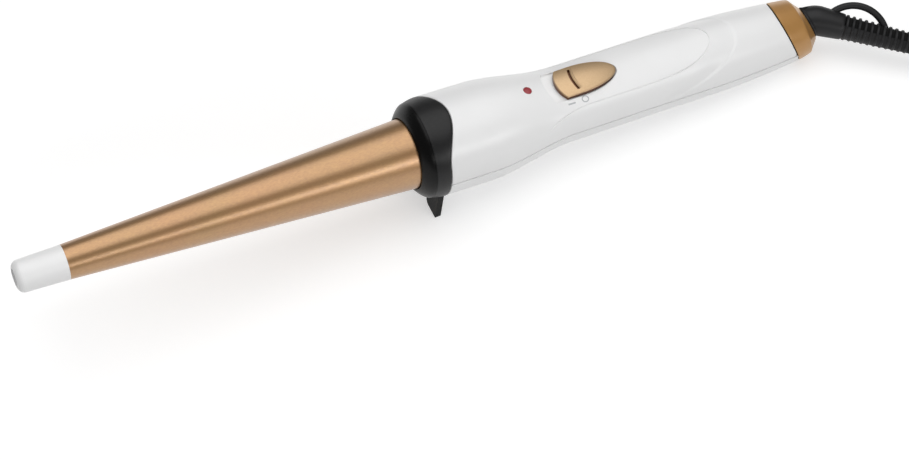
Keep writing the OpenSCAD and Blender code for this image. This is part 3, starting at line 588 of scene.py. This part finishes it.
def hoop(rings):
    """Closed body through rings of points, the last ring joined to the first."""
    bm = bmesh.new()
    rows = [[bm.verts.new(point) for point in ring] for ring in rings]
    join(bm, rows + rows[:1])
    return outward(bm)


def band_mesh(rows, columns):
    """The band: a hoop that swells a little towards the shells, with the tongue on top."""
    sections = []
    for j in range(columns):
        turn = 360 * j / columns
        first = RIDGE_X + 0.3
        last = front_edge(turn if turn <= 270 else turn - 360) - BAND_GAP - 0.3
        section = [(RIDGE_X + on, RIDGE_R - under)
                   for on, under in ((0.04, 0.22), (0.09, 0.08), (0.18, 0.02))]
        section += [(first + (last - first) * i / rows,
                     RIDGE_R + (HEAD_R - RIDGE_R) * around(90 * i / rows)[1]) for i in range(rows + 1)]
        section += [(last + on, HEAD_R - under) for on, under in ((0.18, 0.07), (0.27, 0.18), (0.3, 0.3))]
        section += [(section[-1][0], BAND_BORE), (section[0][0], BAND_BORE)]
        sections.append([at_turn(x, turn, r) for x, r in section])
    return hoop(sections)


bezel_profile = [
    (BEZEL_BACK, BEZEL_MOUTH), (123.4, BEZEL_MOUTH), (123.14, 12.87), (123.02, 13.1), (123.05, 13.4),
    (124, 14.62), (125, 15.78), (125.9, 16.56), (126.4, 16.86), (126.8, 17.03), (RIDGE_X, RIDGE_R - 0.05),
    (RIDGE_X, BEZEL_BORE), (BEZEL_BACK, BEZEL_BORE)]
front_ring = as_piece("front_ring", hoop(
    [[at_turn(x, 360 * j / 128, r) for j in range(128)] for x, r in bezel_profile]))
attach(front_ring, "handle")
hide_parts("bezel_ring")
band = as_piece("band", band_mesh(12, 192))
cut(band, prism(oblong(REST_FROM, REST_TO, REST_HALF), -30, -6))
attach(band, "handle")
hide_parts("collar_band")

# Black glass-filled polyamide: a satin, almost leathery skin that greys where the light is broad.
dress(band, grained("moulded_black_polyamide", "#060607", "#0a0a0b", 0.4, 0.05, 0.7, 0.02, IOR=1.53,
                    Specular_IOR_Level=0.34))
# The rest is the same polyamide from a sparked mould, matt, with its colour set darker than the band's as
# painted shade, so its flat faces stay dark.
dress("stand_foot", grained("sparked_black_polyamide_painted_shade", "#020202", "#050505", 0.6, 0.05, 0.7, 0.02, IOR=1.53,
                            Specular_IOR_Level=0.2))
# The ring is the same polyamide from a polished mould, with its colour set darker than the band's as painted
# shade: nearly black where nothing bright faces it.
dress(front_ring, grained("polished_black_polyamide_painted_shade", "#020202", "#050505", 0.3, 0.04, 0.7, 0.01, IOR=1.53,
                          Specular_IOR_Level=0.17))


# ---------------------------------------------------------------- lamp
# The pilot lamp's light pipe is a small moulding of red acrylic. It is pressed into the hole of the upper
# shell from inside, over the lamp on the board.

# Tinted acrylic: deep red with a soft gloss, and unlit.
dress("led_lens", grained("red_tinted_acrylic", "#98262e", "#a93b42", 0.3, 0.02, 2, 0.002, IOR=1.49,
                          Subsurface_Weight=0.1))


# ---------------------------------------------------------------- switch
# The sliding cap is moulded ABS, metallised pale gold and lacquered, with a groove and a rib for the
# thumb. It clips on a white acetal slider that reaches down through the slot in the shell.

CAP_FRONT, CAP_NOSE, CAP_END, CAP_HALF = 179.2, 186.6, 202.6, 6.0
CAP_TOP, CAP_FOOT, CAP_EDGE, CAP_MIDDLE = 14.0, 11.45, 0.34, 190.5
# The crown falls by the square of the way from its middle over these, along and, near enough, across.
CROWN_X, CROWN_R, CROWN_ALONG = 190.2, 24.0, 180
CROWN_ACROSS = 1.94 * CROWN_R
GROOVE_X, GROOVE_R, GROOVE_HALF, GROOVE_DEEP = 185.3, 12.0, 4.4, 0.8
RIB_X, RIB_HALF, RIB_R, RIB_UNDER = GROOVE_X + 1.05, 4.1, 0.42, 0.18
# Depths under the crown over which the painted shade on the cap's sides and groove comes in.
SHADE_FULL_UNDER, SHADE_FROM_UNDER = 0.55, 0.2


def crown(x, y, over=0.0):
    """Height of the cap's top, crowned across and a little along."""
    return CAP_TOP + over - (CROWN_R - math.sqrt(CROWN_R ** 2 - y * y)) - (x - CROWN_X) ** 2 / CROWN_ALONG


def cap_mesh():
    """The cap from its foot up over a rounded edge to the middle of its crown, ring by ring."""
    bm = bmesh.new()
    outline = bullet(CAP_FRONT, CAP_NOSE, CAP_END, CAP_HALF)
    dense = []
    for (x0, y0), (x1, y1) in zip(outline, outline[1:] + outline[:1]):
        pieces = max(1, round(math.hypot(x1 - x0, y1 - y0) / 0.3))
        dense += [(x0 + (x1 - x0) * i / pieces, y0 + (y1 - y0) * i / pieces) for i in range(pieces)]
    steps = [(0, None, 1), (0, 0.3, 1), (0.03, 0.16, 1), (0.09, 0.08, 1), (0.2, 0.02, 1)]
    steps += [(CAP_EDGE, 0, 1 - i / 14) for i in range(14)]
    rings = []
    for inset, drop, share in steps:
        ring = []
        for x, y in dense:
            k = (1 - inset / math.hypot(x - CAP_MIDDLE, y)) * share
            px, py = CAP_MIDDLE + (x - CAP_MIDDLE) * k, y * k
            ring.append(bm.verts.new(laid(px, py, CAP_FOOT if drop is None else crown(px, py) - drop)))
        rings.append(ring)
    join(bm, rings)
    bm.faces.new(rings[0])
    top = bm.verts.new(laid(CAP_MIDDLE, 0, crown(CAP_MIDDLE, 0)))
    for one, other in zip(rings[-1], rings[-1][1:] + rings[-1][:1]):
        bm.faces.new((one, other, top))
    bmesh.ops.remove_doubles(bm, verts=bm.verts, dist=1e-6)
    return outward(bm)


def groove_arc(x, reach, over):
    """Points of a shallow arc across the cap, bowed towards the tip."""
    return [laid(x + GROOVE_R - GROOVE_R * math.cos(y / GROOVE_R), y, crown(x, y, over))
            for y in (reach * i / 14 for i in range(-14, 15))]


def slit():
    """Cutter for the thumb groove: a narrow upright blade along the arc."""
    edges = ((-0.58, 1), (-0.46, -GROOVE_DEEP), (0.46, -GROOVE_DEEP), (0.58, 1))
    return sleeve(bmesh.new(), zip(*(groove_arc(GROOVE_X + aside, GROOVE_HALF, over)
                                     for aside, over in edges)))


thumb_cap = as_piece("thumb_cap", cap_mesh())
cut(thumb_cap, slit())
with_rib = bmesh.new()
with_rib.from_mesh(thumb_cap.data)
tube(with_rib, groove_arc(RIB_X, RIB_HALF, -RIB_UNDER), RIB_R)
with_rib.to_mesh(thumb_cap.data)
with_rib.free()
thumb_cap.data.shade_smooth()
thumb_cap.data.set_sharp_from_angle(angle=math.radians(35))

# Vacuum-metallised ABS in pale gold under a satin lacquer. Dark brown is painted down the sides and in
# the groove as painted shade, which frames the cap with a dark line.
cap_gold = new_material("pale_gold_metallised_abs", Metallic=0.8, Coat_Weight=0.5, Coat_Roughness=0.3)
cap_place = add_node(cap_gold, "ShaderNodeTexCoord").outputs["Object"]
lengthwise, across, height = (
    add_node(cap_gold, "ShaderNodeVectorMath", {"operation": "DOT_PRODUCT"}, _0=cap_place, _1=way)
    for way in (rearward, (0, 1, 0), upward))
cap_middle = laid(CROWN_X, 0, CAP_TOP)
from_middle = add_node(cap_gold, "ShaderNodeMath", {"operation": "SUBTRACT"}, _0=lengthwise.outputs["Value"],
                       _1=cap_middle.dot(rearward))
fall_along = add_node(cap_gold, "ShaderNodeMath", {"operation": "MULTIPLY"}, _0=from_middle.outputs[0],
                      _1=from_middle.outputs[0])
fall_across = add_node(cap_gold, "ShaderNodeMath", {"operation": "MULTIPLY"}, _0=across.outputs["Value"],
                       _1=across.outputs["Value"])
crown_along = add_node(cap_gold, "ShaderNodeMath", {"operation": "MULTIPLY_ADD"}, _0=fall_along.outputs[0],
                       _1=1 / (CROWN_ALONG * MM), _2=height.outputs["Value"])
under_crown = add_node(cap_gold, "ShaderNodeMath", {"operation": "MULTIPLY_ADD"}, _0=fall_across.outputs[0],
                       _1=1 / (CROWN_ACROSS * MM), _2=crown_along.outputs[0])
# Painted shade: below the crown the tone runs to dark brown down the sides and in the groove.
gold_vs_painted_shade = add_node(cap_gold, "ShaderNodeMapRange", Value=under_crown.outputs[0],
                      From_Min=cap_middle.dot(upward) - SHADE_FULL_UNDER * MM,
                      From_Max=cap_middle.dot(upward) - SHADE_FROM_UNDER * MM)
fleck = add_node(cap_gold, "ShaderNodeTexNoise", Vector=cap_place, Scale=1 / (0.5 * MM), Detail=2.0)
cap_drift = add_node(cap_gold, "ShaderNodeMix", {"data_type": "RGBA"}, Factor=fleck.outputs["Fac"],
                     _6=linear("#bc9c75"), _7=linear("#c7aa84"))
cap_tone = add_node(cap_gold, "ShaderNodeMix", {"data_type": "RGBA"}, Factor=gold_vs_painted_shade.outputs[0],
                    _6=linear("#6a4328"), _7=cap_drift.outputs[2])
cap_satin = add_node(cap_gold, "ShaderNodeMapRange", Value=fleck.outputs["Fac"], From_Min=0.3, From_Max=0.7,
                     To_Min=0.4, To_Max=0.32)
feed(cap_gold, Base_Color=cap_tone.outputs[2], Roughness=cap_satin.outputs[0])
dress(thumb_cap, cap_gold)
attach(thumb_cap, "switch")
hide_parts("switch_cap")

# Acetal slider: a waxy, unpainted moulding.
dress("switch_slider", grained("moulded_white_acetal", "#d6d7d8", "#dcddde", 0.4, 0.04, 1, 0.005, IOR=1.48))


# ---------------------------------------------------------------- rear end
# The end cap is moulded ABS, metallised in bronze, with a blunt cone behind its rim. It closes the shells
# over a thin rubber ring and holds the cord's swivel.

RIM_X, RIM_TILT = 281.4, math.tan(math.radians(18))
SHOULDER_H, SHOULDER_R = 3.2, 6.9
BORE_R, BORE_FROM, RIM_WALL = 5.8, 1.2, 1.6


def cap_radius(x):
    """The cap draws in a little faster than the grip."""
    return side_r(x) - 0.0156 * max(x - 276, 0) ** 2


def cap_loop(start, tilt, inset, turn):
    """A point of the cap's section by a plane that leans forwards towards the top."""
    s = around(turn)[1]
    r = 11.5
    for _ in range(12):
        x = start - r * s * tilt
        r = (r + cap_radius(x) - inset) / 2
    return at_turn(x, turn, r, GRIP_RISE)


swivel_at, swivel_axis = Vector(swivel["pos_m"]), Vector(swivel["axis"])
swivel_over = swivel_axis.cross(Vector((0, 1, 0)))


def swivel_loop(distance, radius, turn):
    """A point of a circle about the swivel's axis, at a distance behind the rim."""
    c, s = around(turn)
    return swivel_at + (swivel_axis * distance + (Vector((0, 1, 0)) * c + swivel_over * s) * radius) * MM


def looped(loops, sides=144):
    """Closed body through loops, each given as a function and its sizes."""
    return hoop([[loop(*sizes, 360 * j / sides) for j in range(sides)] for loop, *sizes in loops])


cap_front = [(cap_loop, JOINT_X + on, SLANT, inset)
             for on, inset in ((0.2, 1.4), (0.2, 0.3), (0.25, 0.12), (0.4, 0.02))]
cap_side = [(cap_loop, JOINT_X + 0.6 + k * (RIM_X - JOINT_X - 1.2), SLANT + k * (RIM_TILT - SLANT), 0)
            for k in (i / 12 for i in range(13))]
cap_crease = [(cap_loop, RIM_X + on, RIM_TILT, inset)
              for on, inset in ((-0.25, 0.05), (-0.05, 0.18), (0.1, 0.42))]
rear_cap = as_piece("rear_cap", looped(cap_front + cap_side + cap_crease + [
    (swivel_loop, SHOULDER_H - 0.15, SHOULDER_R), (swivel_loop, SHOULDER_H, SHOULDER_R - 0.25),
    (swivel_loop, SHOULDER_H, BORE_R), (swivel_loop, BORE_FROM, BORE_R),
    (cap_loop, RIM_X - RIM_WALL, RIM_TILT, RIM_WALL)]))
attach(rear_cap, "handle")
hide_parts("end_cap")

joint_ring = as_piece("joint_ring", looped([
    (cap_loop, JOINT_X + on, SLANT, inset)
    for on, inset in ((-0.8, 1.9), (-0.8, 0.45), (0.8, 0.45), (0.8, 1.9))]))
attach(joint_ring, "handle")

# Foam rubber ring between the shells and the cap: dead black, so that the joint reads as one dark line.
dress(joint_ring, grained("black_foam_rubber", "#0c0806", "#120c09", 0.8, 0.05, 0.4, 0.02, IOR=1.5))
# Vacuum-metallised ABS in bronze, with a clear lacquer and the fine speckle of the coat below it.
dress(rear_cap, grained("bronze_metallised_abs", "#ab7a3e", "#bf8f51", 0.42, 0.06, 0.5, 0.004, Metallic=0.3,
                        Specular_Tint=(1.0, 0.85, 0.6, 1.0), Coat_Weight=0.6, Coat_Roughness=0.3,
                        Coat_IOR=1.6))


# ---------------------------------------------------------------- relief
# The cord's strain relief is one soft vinyl moulding: a round foot, an elbow, a neck, then twenty thin
# rings tied by a web along each side, and a hanging loop. It is moulded on the cord and turns with it.

ELBOW_X, ELBOW_BEND, ELBOW_R, ELBOW_THICK, CORD_TURN = 5.6, 45, 5.8, 5.5, 60
FOOT_X, FOOT_R = 3.5, 6.1
RINGS_FROM, RINGS_LONG = 12, 46
CORE_FRONT, CORE_REAR = 4.0, 3.05
RING_COUNT, RING_STEP, RING_THICK, RING_DEEP = 20, 2.3, 1.0, 1.1
RING_FRONT, RING_REAR = 4.75, 3.4
WEB_LOW, WEB_HIGH, WEB_UNDER = -82, 4, 0.3
LOOP_X, LOOP_Z, LOOP_R, LOOP_THICK, LOOP_SPAN = 16.2, -3.6, 12.4, 1.3, 140

bend_over = Matrix.Rotation(math.radians(-CORD_TURN), 3, swivel_axis) @ swivel_over
lean_c, lean_s = around(ELBOW_BEND)
relief_axis = swivel_axis * lean_c - bend_over * lean_s
relief_over = swivel_axis * lean_s + bend_over * lean_c
relief_aside = relief_over.cross(relief_axis)
relief_from = swivel_at + swivel_axis * ELBOW_X * MM


def on_relief(x, turn, radius):
    """A point of the relief: along it from the elbow, and round its axis (0 is aside, 90 over)."""
    c, s = around(turn)
    return relief_from + (relief_axis * x + (relief_aside * c + relief_over * s) * radius) * MM


relief_mesh = bmesh.new()
round_about = [360 * j / 64 for j in range(64)]
foot_steps = ((0, 0.1), (0.15, 0), (0.6, 0.1), (1.0, 0.35), (1.3, 0.7))
sleeve(relief_mesh, [[swivel_loop(FOOT_X + on, FOOT_R - inset, turn) for turn in round_about]
                     for on, inset in foot_steps])
tangent = ELBOW_R * math.tan(math.radians(ELBOW_BEND / 2))
bend_at = swivel_at + (swivel_axis * (ELBOW_X - tangent) - bend_over * ELBOW_R) * MM
elbow_rings = []
for i in range(1, 13):
    c, s = around(ELBOW_BEND * i / 13)
    out = bend_over * c + swivel_axis * s
    thick = ELBOW_THICK + 0.6 * max(0, 1 - i / 6) ** 2
    elbow_rings.append(circle(bend_at + out * ELBOW_R * MM, relief_aside, out, thick, 64))
neck = [(tangent, ELBOW_THICK), (5, 5.36), (8, 5.1), (10.4, 4.9), (11.2, 4.8), (11.45, 4.65), (11.55, 4.4),
        (11.6, CORE_FRONT), (RINGS_FROM + RINGS_LONG - 0.4, CORE_REAR),
        (RINGS_FROM + RINGS_LONG, CORE_REAR - 0.3)]
sleeve(relief_mesh, elbow_rings + [[on_relief(x, turn, r) for turn in round_about] for x, r in neck])
turns = [WEB_LOW + (WEB_HIGH - WEB_LOW) * i / 12 for i in range(13)]
for side in (0, 180):
    rows = []
    for x, inset in ((11.3, 0), (20, 0), (30, 0), (40, 0), (48.6, 0), (49, 0.3)):
        ring_r = RING_FRONT + (RING_REAR - RING_FRONT) * (x - RINGS_FROM) / RINGS_LONG
        outer = ring_r - WEB_UNDER - inset
        sector = [(turn, outer) for turn in turns] + [(turn, CORE_REAR - 0.3) for turn in reversed(turns)]
        rows.append([on_relief(x, side - turn if side else turn, r) for turn, r in sector])
    sleeve(relief_mesh, rows)
loop_rings = []
for i in range(41):
    c, s = around(90 + LOOP_SPAN * (i / 40 - 0.5))
    out = relief_axis * c + relief_over * s
    centre = relief_from + (relief_axis * LOOP_X + relief_over * LOOP_Z + out * LOOP_R) * MM
    loop_rings.append(circle(centre, relief_aside, out, LOOP_THICK, 24))
sleeve(relief_mesh, loop_rings)


def ring_tree(material):
    """Geometry Nodes tree of the rings: one rounded hoop on every point of a line, smaller and smaller."""
    tree = bpy.data.node_groups.new("relief_rings", "GeometryNodeTree")
    face = tree.interface
    face.new_socket("Geometry", in_out="INPUT", socket_type="NodeSocketGeometry")
    for name, kind in (("Count", "Int"), ("Start", "Vector"), ("Step", "Vector"), ("Turn", "Vector"),
                       ("Ring Radius", "Float"), ("Ring Depth", "Float"), ("Ring Thickness", "Float"),
                       ("Last Ring Scale", "Float")):
        face.new_socket(name, in_out="INPUT", socket_type="NodeSocket" + kind)
    face.new_socket("Geometry", in_out="OUTPUT", socket_type="NodeSocketGeometry")
    given = add_node(tree, "NodeGroupInput").outputs
    half_depth = add_node(tree, "ShaderNodeMath", {"operation": "MULTIPLY"}, _0=given["Ring Depth"], _1=0.5)
    middle = add_node(tree, "ShaderNodeMath", {"operation": "SUBTRACT"}, _0=given["Ring Radius"],
                      _1=half_depth.outputs[0])
    bent = add_node(tree, "GeometryNodeCurvePrimitiveCircle", Resolution=56, Radius=middle.outputs[0])
    section = add_node(tree, "GeometryNodeCurvePrimitiveQuadrilateral", Width=given["Ring Depth"],
                       Height=given["Ring Thickness"])
    corner = add_node(tree, "ShaderNodeMath", {"operation": "MULTIPLY"}, _0=given["Ring Thickness"], _1=0.22)
    rounded = add_node(tree, "GeometryNodeFilletCurve", Curve=section.outputs[0], Radius=corner.outputs[0])
    ring = add_node(tree, "GeometryNodeCurveToMesh", Curve=bent.outputs[0], Profile_Curve=rounded.outputs[0])
    line = add_node(tree, "GeometryNodeMeshLine", Count=given["Count"], Start_Location=given["Start"],
                    Offset=given["Step"])
    index = add_node(tree, "GeometryNodeInputIndex")
    last = add_node(tree, "ShaderNodeMath", {"operation": "SUBTRACT"}, _0=given["Count"], _1=1.0)
    size = add_node(tree, "ShaderNodeMapRange", Value=index.outputs[0], From_Max=last.outputs[0], To_Min=1.0,
                    To_Max=given["Last Ring Scale"])
    scale = add_node(tree, "ShaderNodeCombineXYZ", X=size.outputs[0], Y=size.outputs[0], Z=1.0)
    rings = add_node(tree, "GeometryNodeInstanceOnPoints", Points=line.outputs[0], Instance=ring.outputs[0],
                     Rotation=given["Turn"], Scale=scale.outputs[0])
    real = add_node(tree, "GeometryNodeRealizeInstances", Geometry=rings.outputs[0])
    dressed = add_node(tree, "GeometryNodeSetMaterial", Geometry=real.outputs[0], Material=material)
    add_node(tree, "NodeGroupOutput", _0=dressed.outputs[0])
    return tree


# Soft vinyl: dull black with a dry bloom on what stands out. The core between the rings is painted near
# black and made rougher, as painted shade for the openings between the rings, which go through to the cord
# and hold no light.
relief_vinyl = new_material("moulded_black_vinyl", IOR=1.52, Specular_IOR_Level=0.35)
relief_place = add_node(relief_vinyl, "ShaderNodeTexCoord").outputs["Object"]
from_elbow = add_node(relief_vinyl, "ShaderNodeVectorMath", {"operation": "SUBTRACT"}, _0=relief_place,
                      _1=relief_from)
down_relief = add_node(relief_vinyl, "ShaderNodeVectorMath", {"operation": "DOT_PRODUCT"},
                       _0=from_elbow.outputs[0], _1=relief_axis)
off_axis = add_node(relief_vinyl, "ShaderNodeVectorMath", {"operation": "CROSS_PRODUCT"},
                    _0=from_elbow.outputs[0], _1=relief_axis)
distance = add_node(relief_vinyl, "ShaderNodeVectorMath", {"operation": "LENGTH"}, _0=off_axis.outputs[0])
core_here = add_node(relief_vinyl, "ShaderNodeMapRange", Value=down_relief.outputs["Value"],
                     From_Min=RINGS_FROM * MM, From_Max=(RINGS_FROM + RINGS_LONG) * MM,
                     To_Min=CORE_FRONT * MM, To_Max=CORE_REAR * MM)
proud = add_node(relief_vinyl, "ShaderNodeMath", {"operation": "SUBTRACT"}, _0=distance.outputs["Value"],
                 _1=core_here.outputs[0])
# Painted shade: where the surface lies down on the core, between the rings, it is painted near black.
ring_vs_painted_core_shade = add_node(relief_vinyl, "ShaderNodeMapRange", Value=proud.outputs[0], From_Min=0.1 * MM,
                   From_Max=0.45 * MM)
bloom = add_node(relief_vinyl, "ShaderNodeTexNoise", Vector=relief_place, Scale=1 / (0.9 * MM), Detail=2.0)
ring_tone = add_node(relief_vinyl, "ShaderNodeMix", {"data_type": "RGBA"}, Factor=bloom.outputs["Fac"],
                     _6=linear("#0b0b0d"), _7=linear("#151517"))
relief_tone = add_node(relief_vinyl, "ShaderNodeMix", {"data_type": "RGBA"}, Factor=ring_vs_painted_core_shade.outputs[0],
                       _6=linear("#020202"), _7=ring_tone.outputs[2])
relief_gloss = add_node(relief_vinyl, "ShaderNodeMapRange", Value=ring_vs_painted_core_shade.outputs[0], To_Min=0.95,
                        To_Max=0.45)
relief_bump = add_node(relief_vinyl, "ShaderNodeBump", Height=bloom.outputs["Fac"], Strength=0.5,
                       Distance=0.02 * MM)
feed(relief_vinyl, Base_Color=relief_tone.outputs[2], Roughness=relief_gloss.outputs[0],
     Normal=relief_bump.outputs[0])

ring_seed = put("relief_rings", bpy.data.meshes.new("relief_rings"))
ring_modifier = ring_seed.modifiers.new("rings", "NODES")
ring_modifier.node_group = ring_tree(relief_vinyl)
ring_sizes = {
    "Count": RING_COUNT,
    "Start": on_relief(RINGS_FROM + RING_THICK / 2, 0, 0),
    "Step": relief_axis * RING_STEP * MM,
    "Turn": relief_axis.to_track_quat("Z", "Y").to_euler(),
    "Ring Radius": RING_FRONT * MM,
    "Ring Depth": RING_DEEP * MM,
    "Ring Thickness": RING_THICK * MM,
    "Last Ring Scale": RING_REAR / RING_FRONT,
}
for item in ring_modifier.node_group.interface.items_tree:
    if item.name in ring_sizes:
        ring_modifier[item.identifier] = ring_sizes[item.name]
evaluated = ring_seed.evaluated_get(bpy.context.evaluated_depsgraph_get())
ring_mesh = bpy.data.meshes.new_from_object(evaluated)
ring_seed.modifiers.clear()
relief_mesh.from_mesh(ring_mesh)
bpy.data.objects.remove(ring_seed)
bmesh.ops.remove_doubles(relief_mesh, verts=relief_mesh.verts, dist=1e-7)
strain_relief = as_piece("strain_relief", relief_mesh)
dress(strain_relief, relief_vinyl)
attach(strain_relief, "cord_swivel")
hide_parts("cord_relief")


# ---------------------------------------------------------------- plug and tie
# The flat two-pin plug is moulded on the cord's end in black vinyl, with nickel-plated pins. A strip of
# polyethylene is wound round the coil and ties it.

# Moulded vinyl: dull black, a shade greyer than the cord.
dress("plug_body", grained("moulded_black_plug_vinyl", "#202123", "#292a2c", 0.4, 0.05, 0.8, 0.02, IOR=1.52))
# Nickel plate on brass: bright and slightly warm.
dress("plug_pins", grained("nickel_plated_brass", "#b9b5ab", "#c6c2b8", 0.22, 0.04, 0.6, 0.002,
                           Metallic=1.0))
# Polyethylene strip: waxy black.
dress("cord_tie", grained("black_polyethylene_strip", "#161617", "#1c1c1d", 0.45, 0.05, 0.8, 0.01, IOR=1.51))


# ---------------------------------------------------------------- inside
# What the shells and the cone hide: the heater between its two shoes, the board with the lamp's supply,
# the mains switch, the bush and the swivel's rings and springs. Each keeps its common finish.

# Matt mouldings and ceramics, glossier films and lacquers, and bare metals, each in two close tones with a
# fine grain. Each node has its finish, the tones, the roughness and whether it is bare metal.
INSIDE = {
    "collar_sleeve": ("dark_phenolic_sleeve", "#303134", "#3b3c3f", 0.5, False),
    "slide_switch": ("phenolic_switch_body", "#2c2c2e", "#38383a", 0.5, False),
    "contact_carrier": ("phenolic_bridge", "#303032", "#3a3a3c", 0.5, False),
    "switch_knob": ("black_acetal", "#19191b", "#202022", 0.42, False),
    "swivel_core": ("black_acetal_core", "#232325", "#2d2d2f", 0.42, False),
    "barrel_bush": ("cream_steatite", "#d0cbbb", "#dad5c6", 0.6, False),
    "ptc_elements": ("barium_titanate_ceramic", "#505050", "#606060", 0.7, False),
    "insulation_film": ("amber_polyimide_film", "#a9692a", "#b87c34", 0.3, False),
    "heater_leads": ("braided_glass_sleeve", "#c4bfb0", "#d4cfc0", 0.8, False),
    "circuit_board": ("green_lacquered_laminate", "#28603d", "#33704a", 0.35, False),
    "dropper_capacitor": ("yellow_polyester_box", "#a87f26", "#b88c2e", 0.35, False),
    "board_parts": ("tan_resistor_lacquer", "#82724f", "#92825f", 0.4, False),
    "supply_leads": ("blue_vinyl_insulation", "#34588f", "#3f64a0", 0.42, False),
    "led": ("diffused_epoxy_lamp", "#d09898", "#dca8a8", 0.3, False),
    "lower_heater_shoe": ("extruded_aluminium_lower_shoe", "#b9bbbe", "#c8cacc", 0.4, True),
    "upper_heater_shoe": ("extruded_aluminium_upper_shoe", "#b9bbbe", "#c8cacc", 0.4, True),
    "contact_springs": ("rolled_brass_leaf", "#bd9645", "#c9a250", 0.3, True),
    "slip_rings": ("turned_brass", "#bd9645", "#c9a250", 0.28, True),
}
for node, (finish, low, high, roughness, metal) in INSIDE.items():
    dress(node, grained(finish, low, high, roughness, 0.04, 0.8, 0.006, Metallic=float(metal)))


# ---------------------------------------------------------------- floor and light
# A plain white sweep under a large overhead softbox. Two narrow strips in front draw the long highlights
# along the barrel and the grip.

PAPER_LIFT = 0.49

bpy.context.scene.view_settings.view_transform = "Standard"


def area_light(name, location, aim, width, height, power):
    """A rectangular softbox at location, aimed at a point."""
    data = bpy.data.lights.new(name, "AREA")
    data.shape = "RECTANGLE"
    data.size, data.size_y, data.energy = width, height, power
    lamp = put(name, data)
    lamp.location = location
    lamp.rotation_euler = (Vector(aim) - Vector(location)).to_track_quat("-Z", "Y").to_euler()


area_light("overhead_softbox", (0.12, 0.22, 0.92), (0.08, 0.0, 0.0), 1.25, 1.2, 6.9)
area_light("front_strip", (0.05, -0.84, 0.46), (0.05, 0.0, 0.0), 1.4, 0.13, 2.2)
area_light("side_strip", (0.42, -0.8, 0.44), (0.1, 0.0, 0.0), 0.6, 0.12, 0.95)

floor_mesh = bpy.data.meshes.new("floor")
floor_mesh.from_pydata([(-3, -3, 0), (3, -3, 0), (3, 3, 0), (-3, 3, 0)], [], [(0, 1, 2, 3)])
floor = put("floor", floor_mesh)

# Matt white paper. To the camera and in gloss it is a little brighter, so that it runs to white around
# the wand and still takes its soft shadow.
floor_paper = new_material("white_paper_sweep", Base_Color=linear("#d9d9d9"), Roughness=0.9,
                           Specular_IOR_Level=0.0, Emission_Color=(1, 1, 1, 1))
seen = add_node(floor_paper, "ShaderNodeLightPath").outputs
seen_or_glossy = add_node(floor_paper, "ShaderNodeMath", {"operation": "MAXIMUM"}, _0=seen["Is Camera Ray"],
                          _1=seen["Is Glossy Ray"])
seen_at_all = add_node(floor_paper, "ShaderNodeMath", {"operation": "MAXIMUM"}, _0=seen_or_glossy.outputs[0],
                       _1=seen["Is Transmission Ray"])
lift = add_node(floor_paper, "ShaderNodeMath", {"operation": "MULTIPLY"}, _0=seen_at_all.outputs[0],
                _1=PAPER_LIFT)
feed(floor_paper, Emission_Strength=lift.outputs[0])
floor_mesh.materials.append(floor_paper)

world = bpy.data.worlds.new("studio")
bpy.context.scene.world = world
world.use_nodes = True
sky = world.node_tree.nodes["Background"].inputs
sky["Color"].default_value = (1, 1, 1, 1)
sky["Strength"].default_value = 0.25
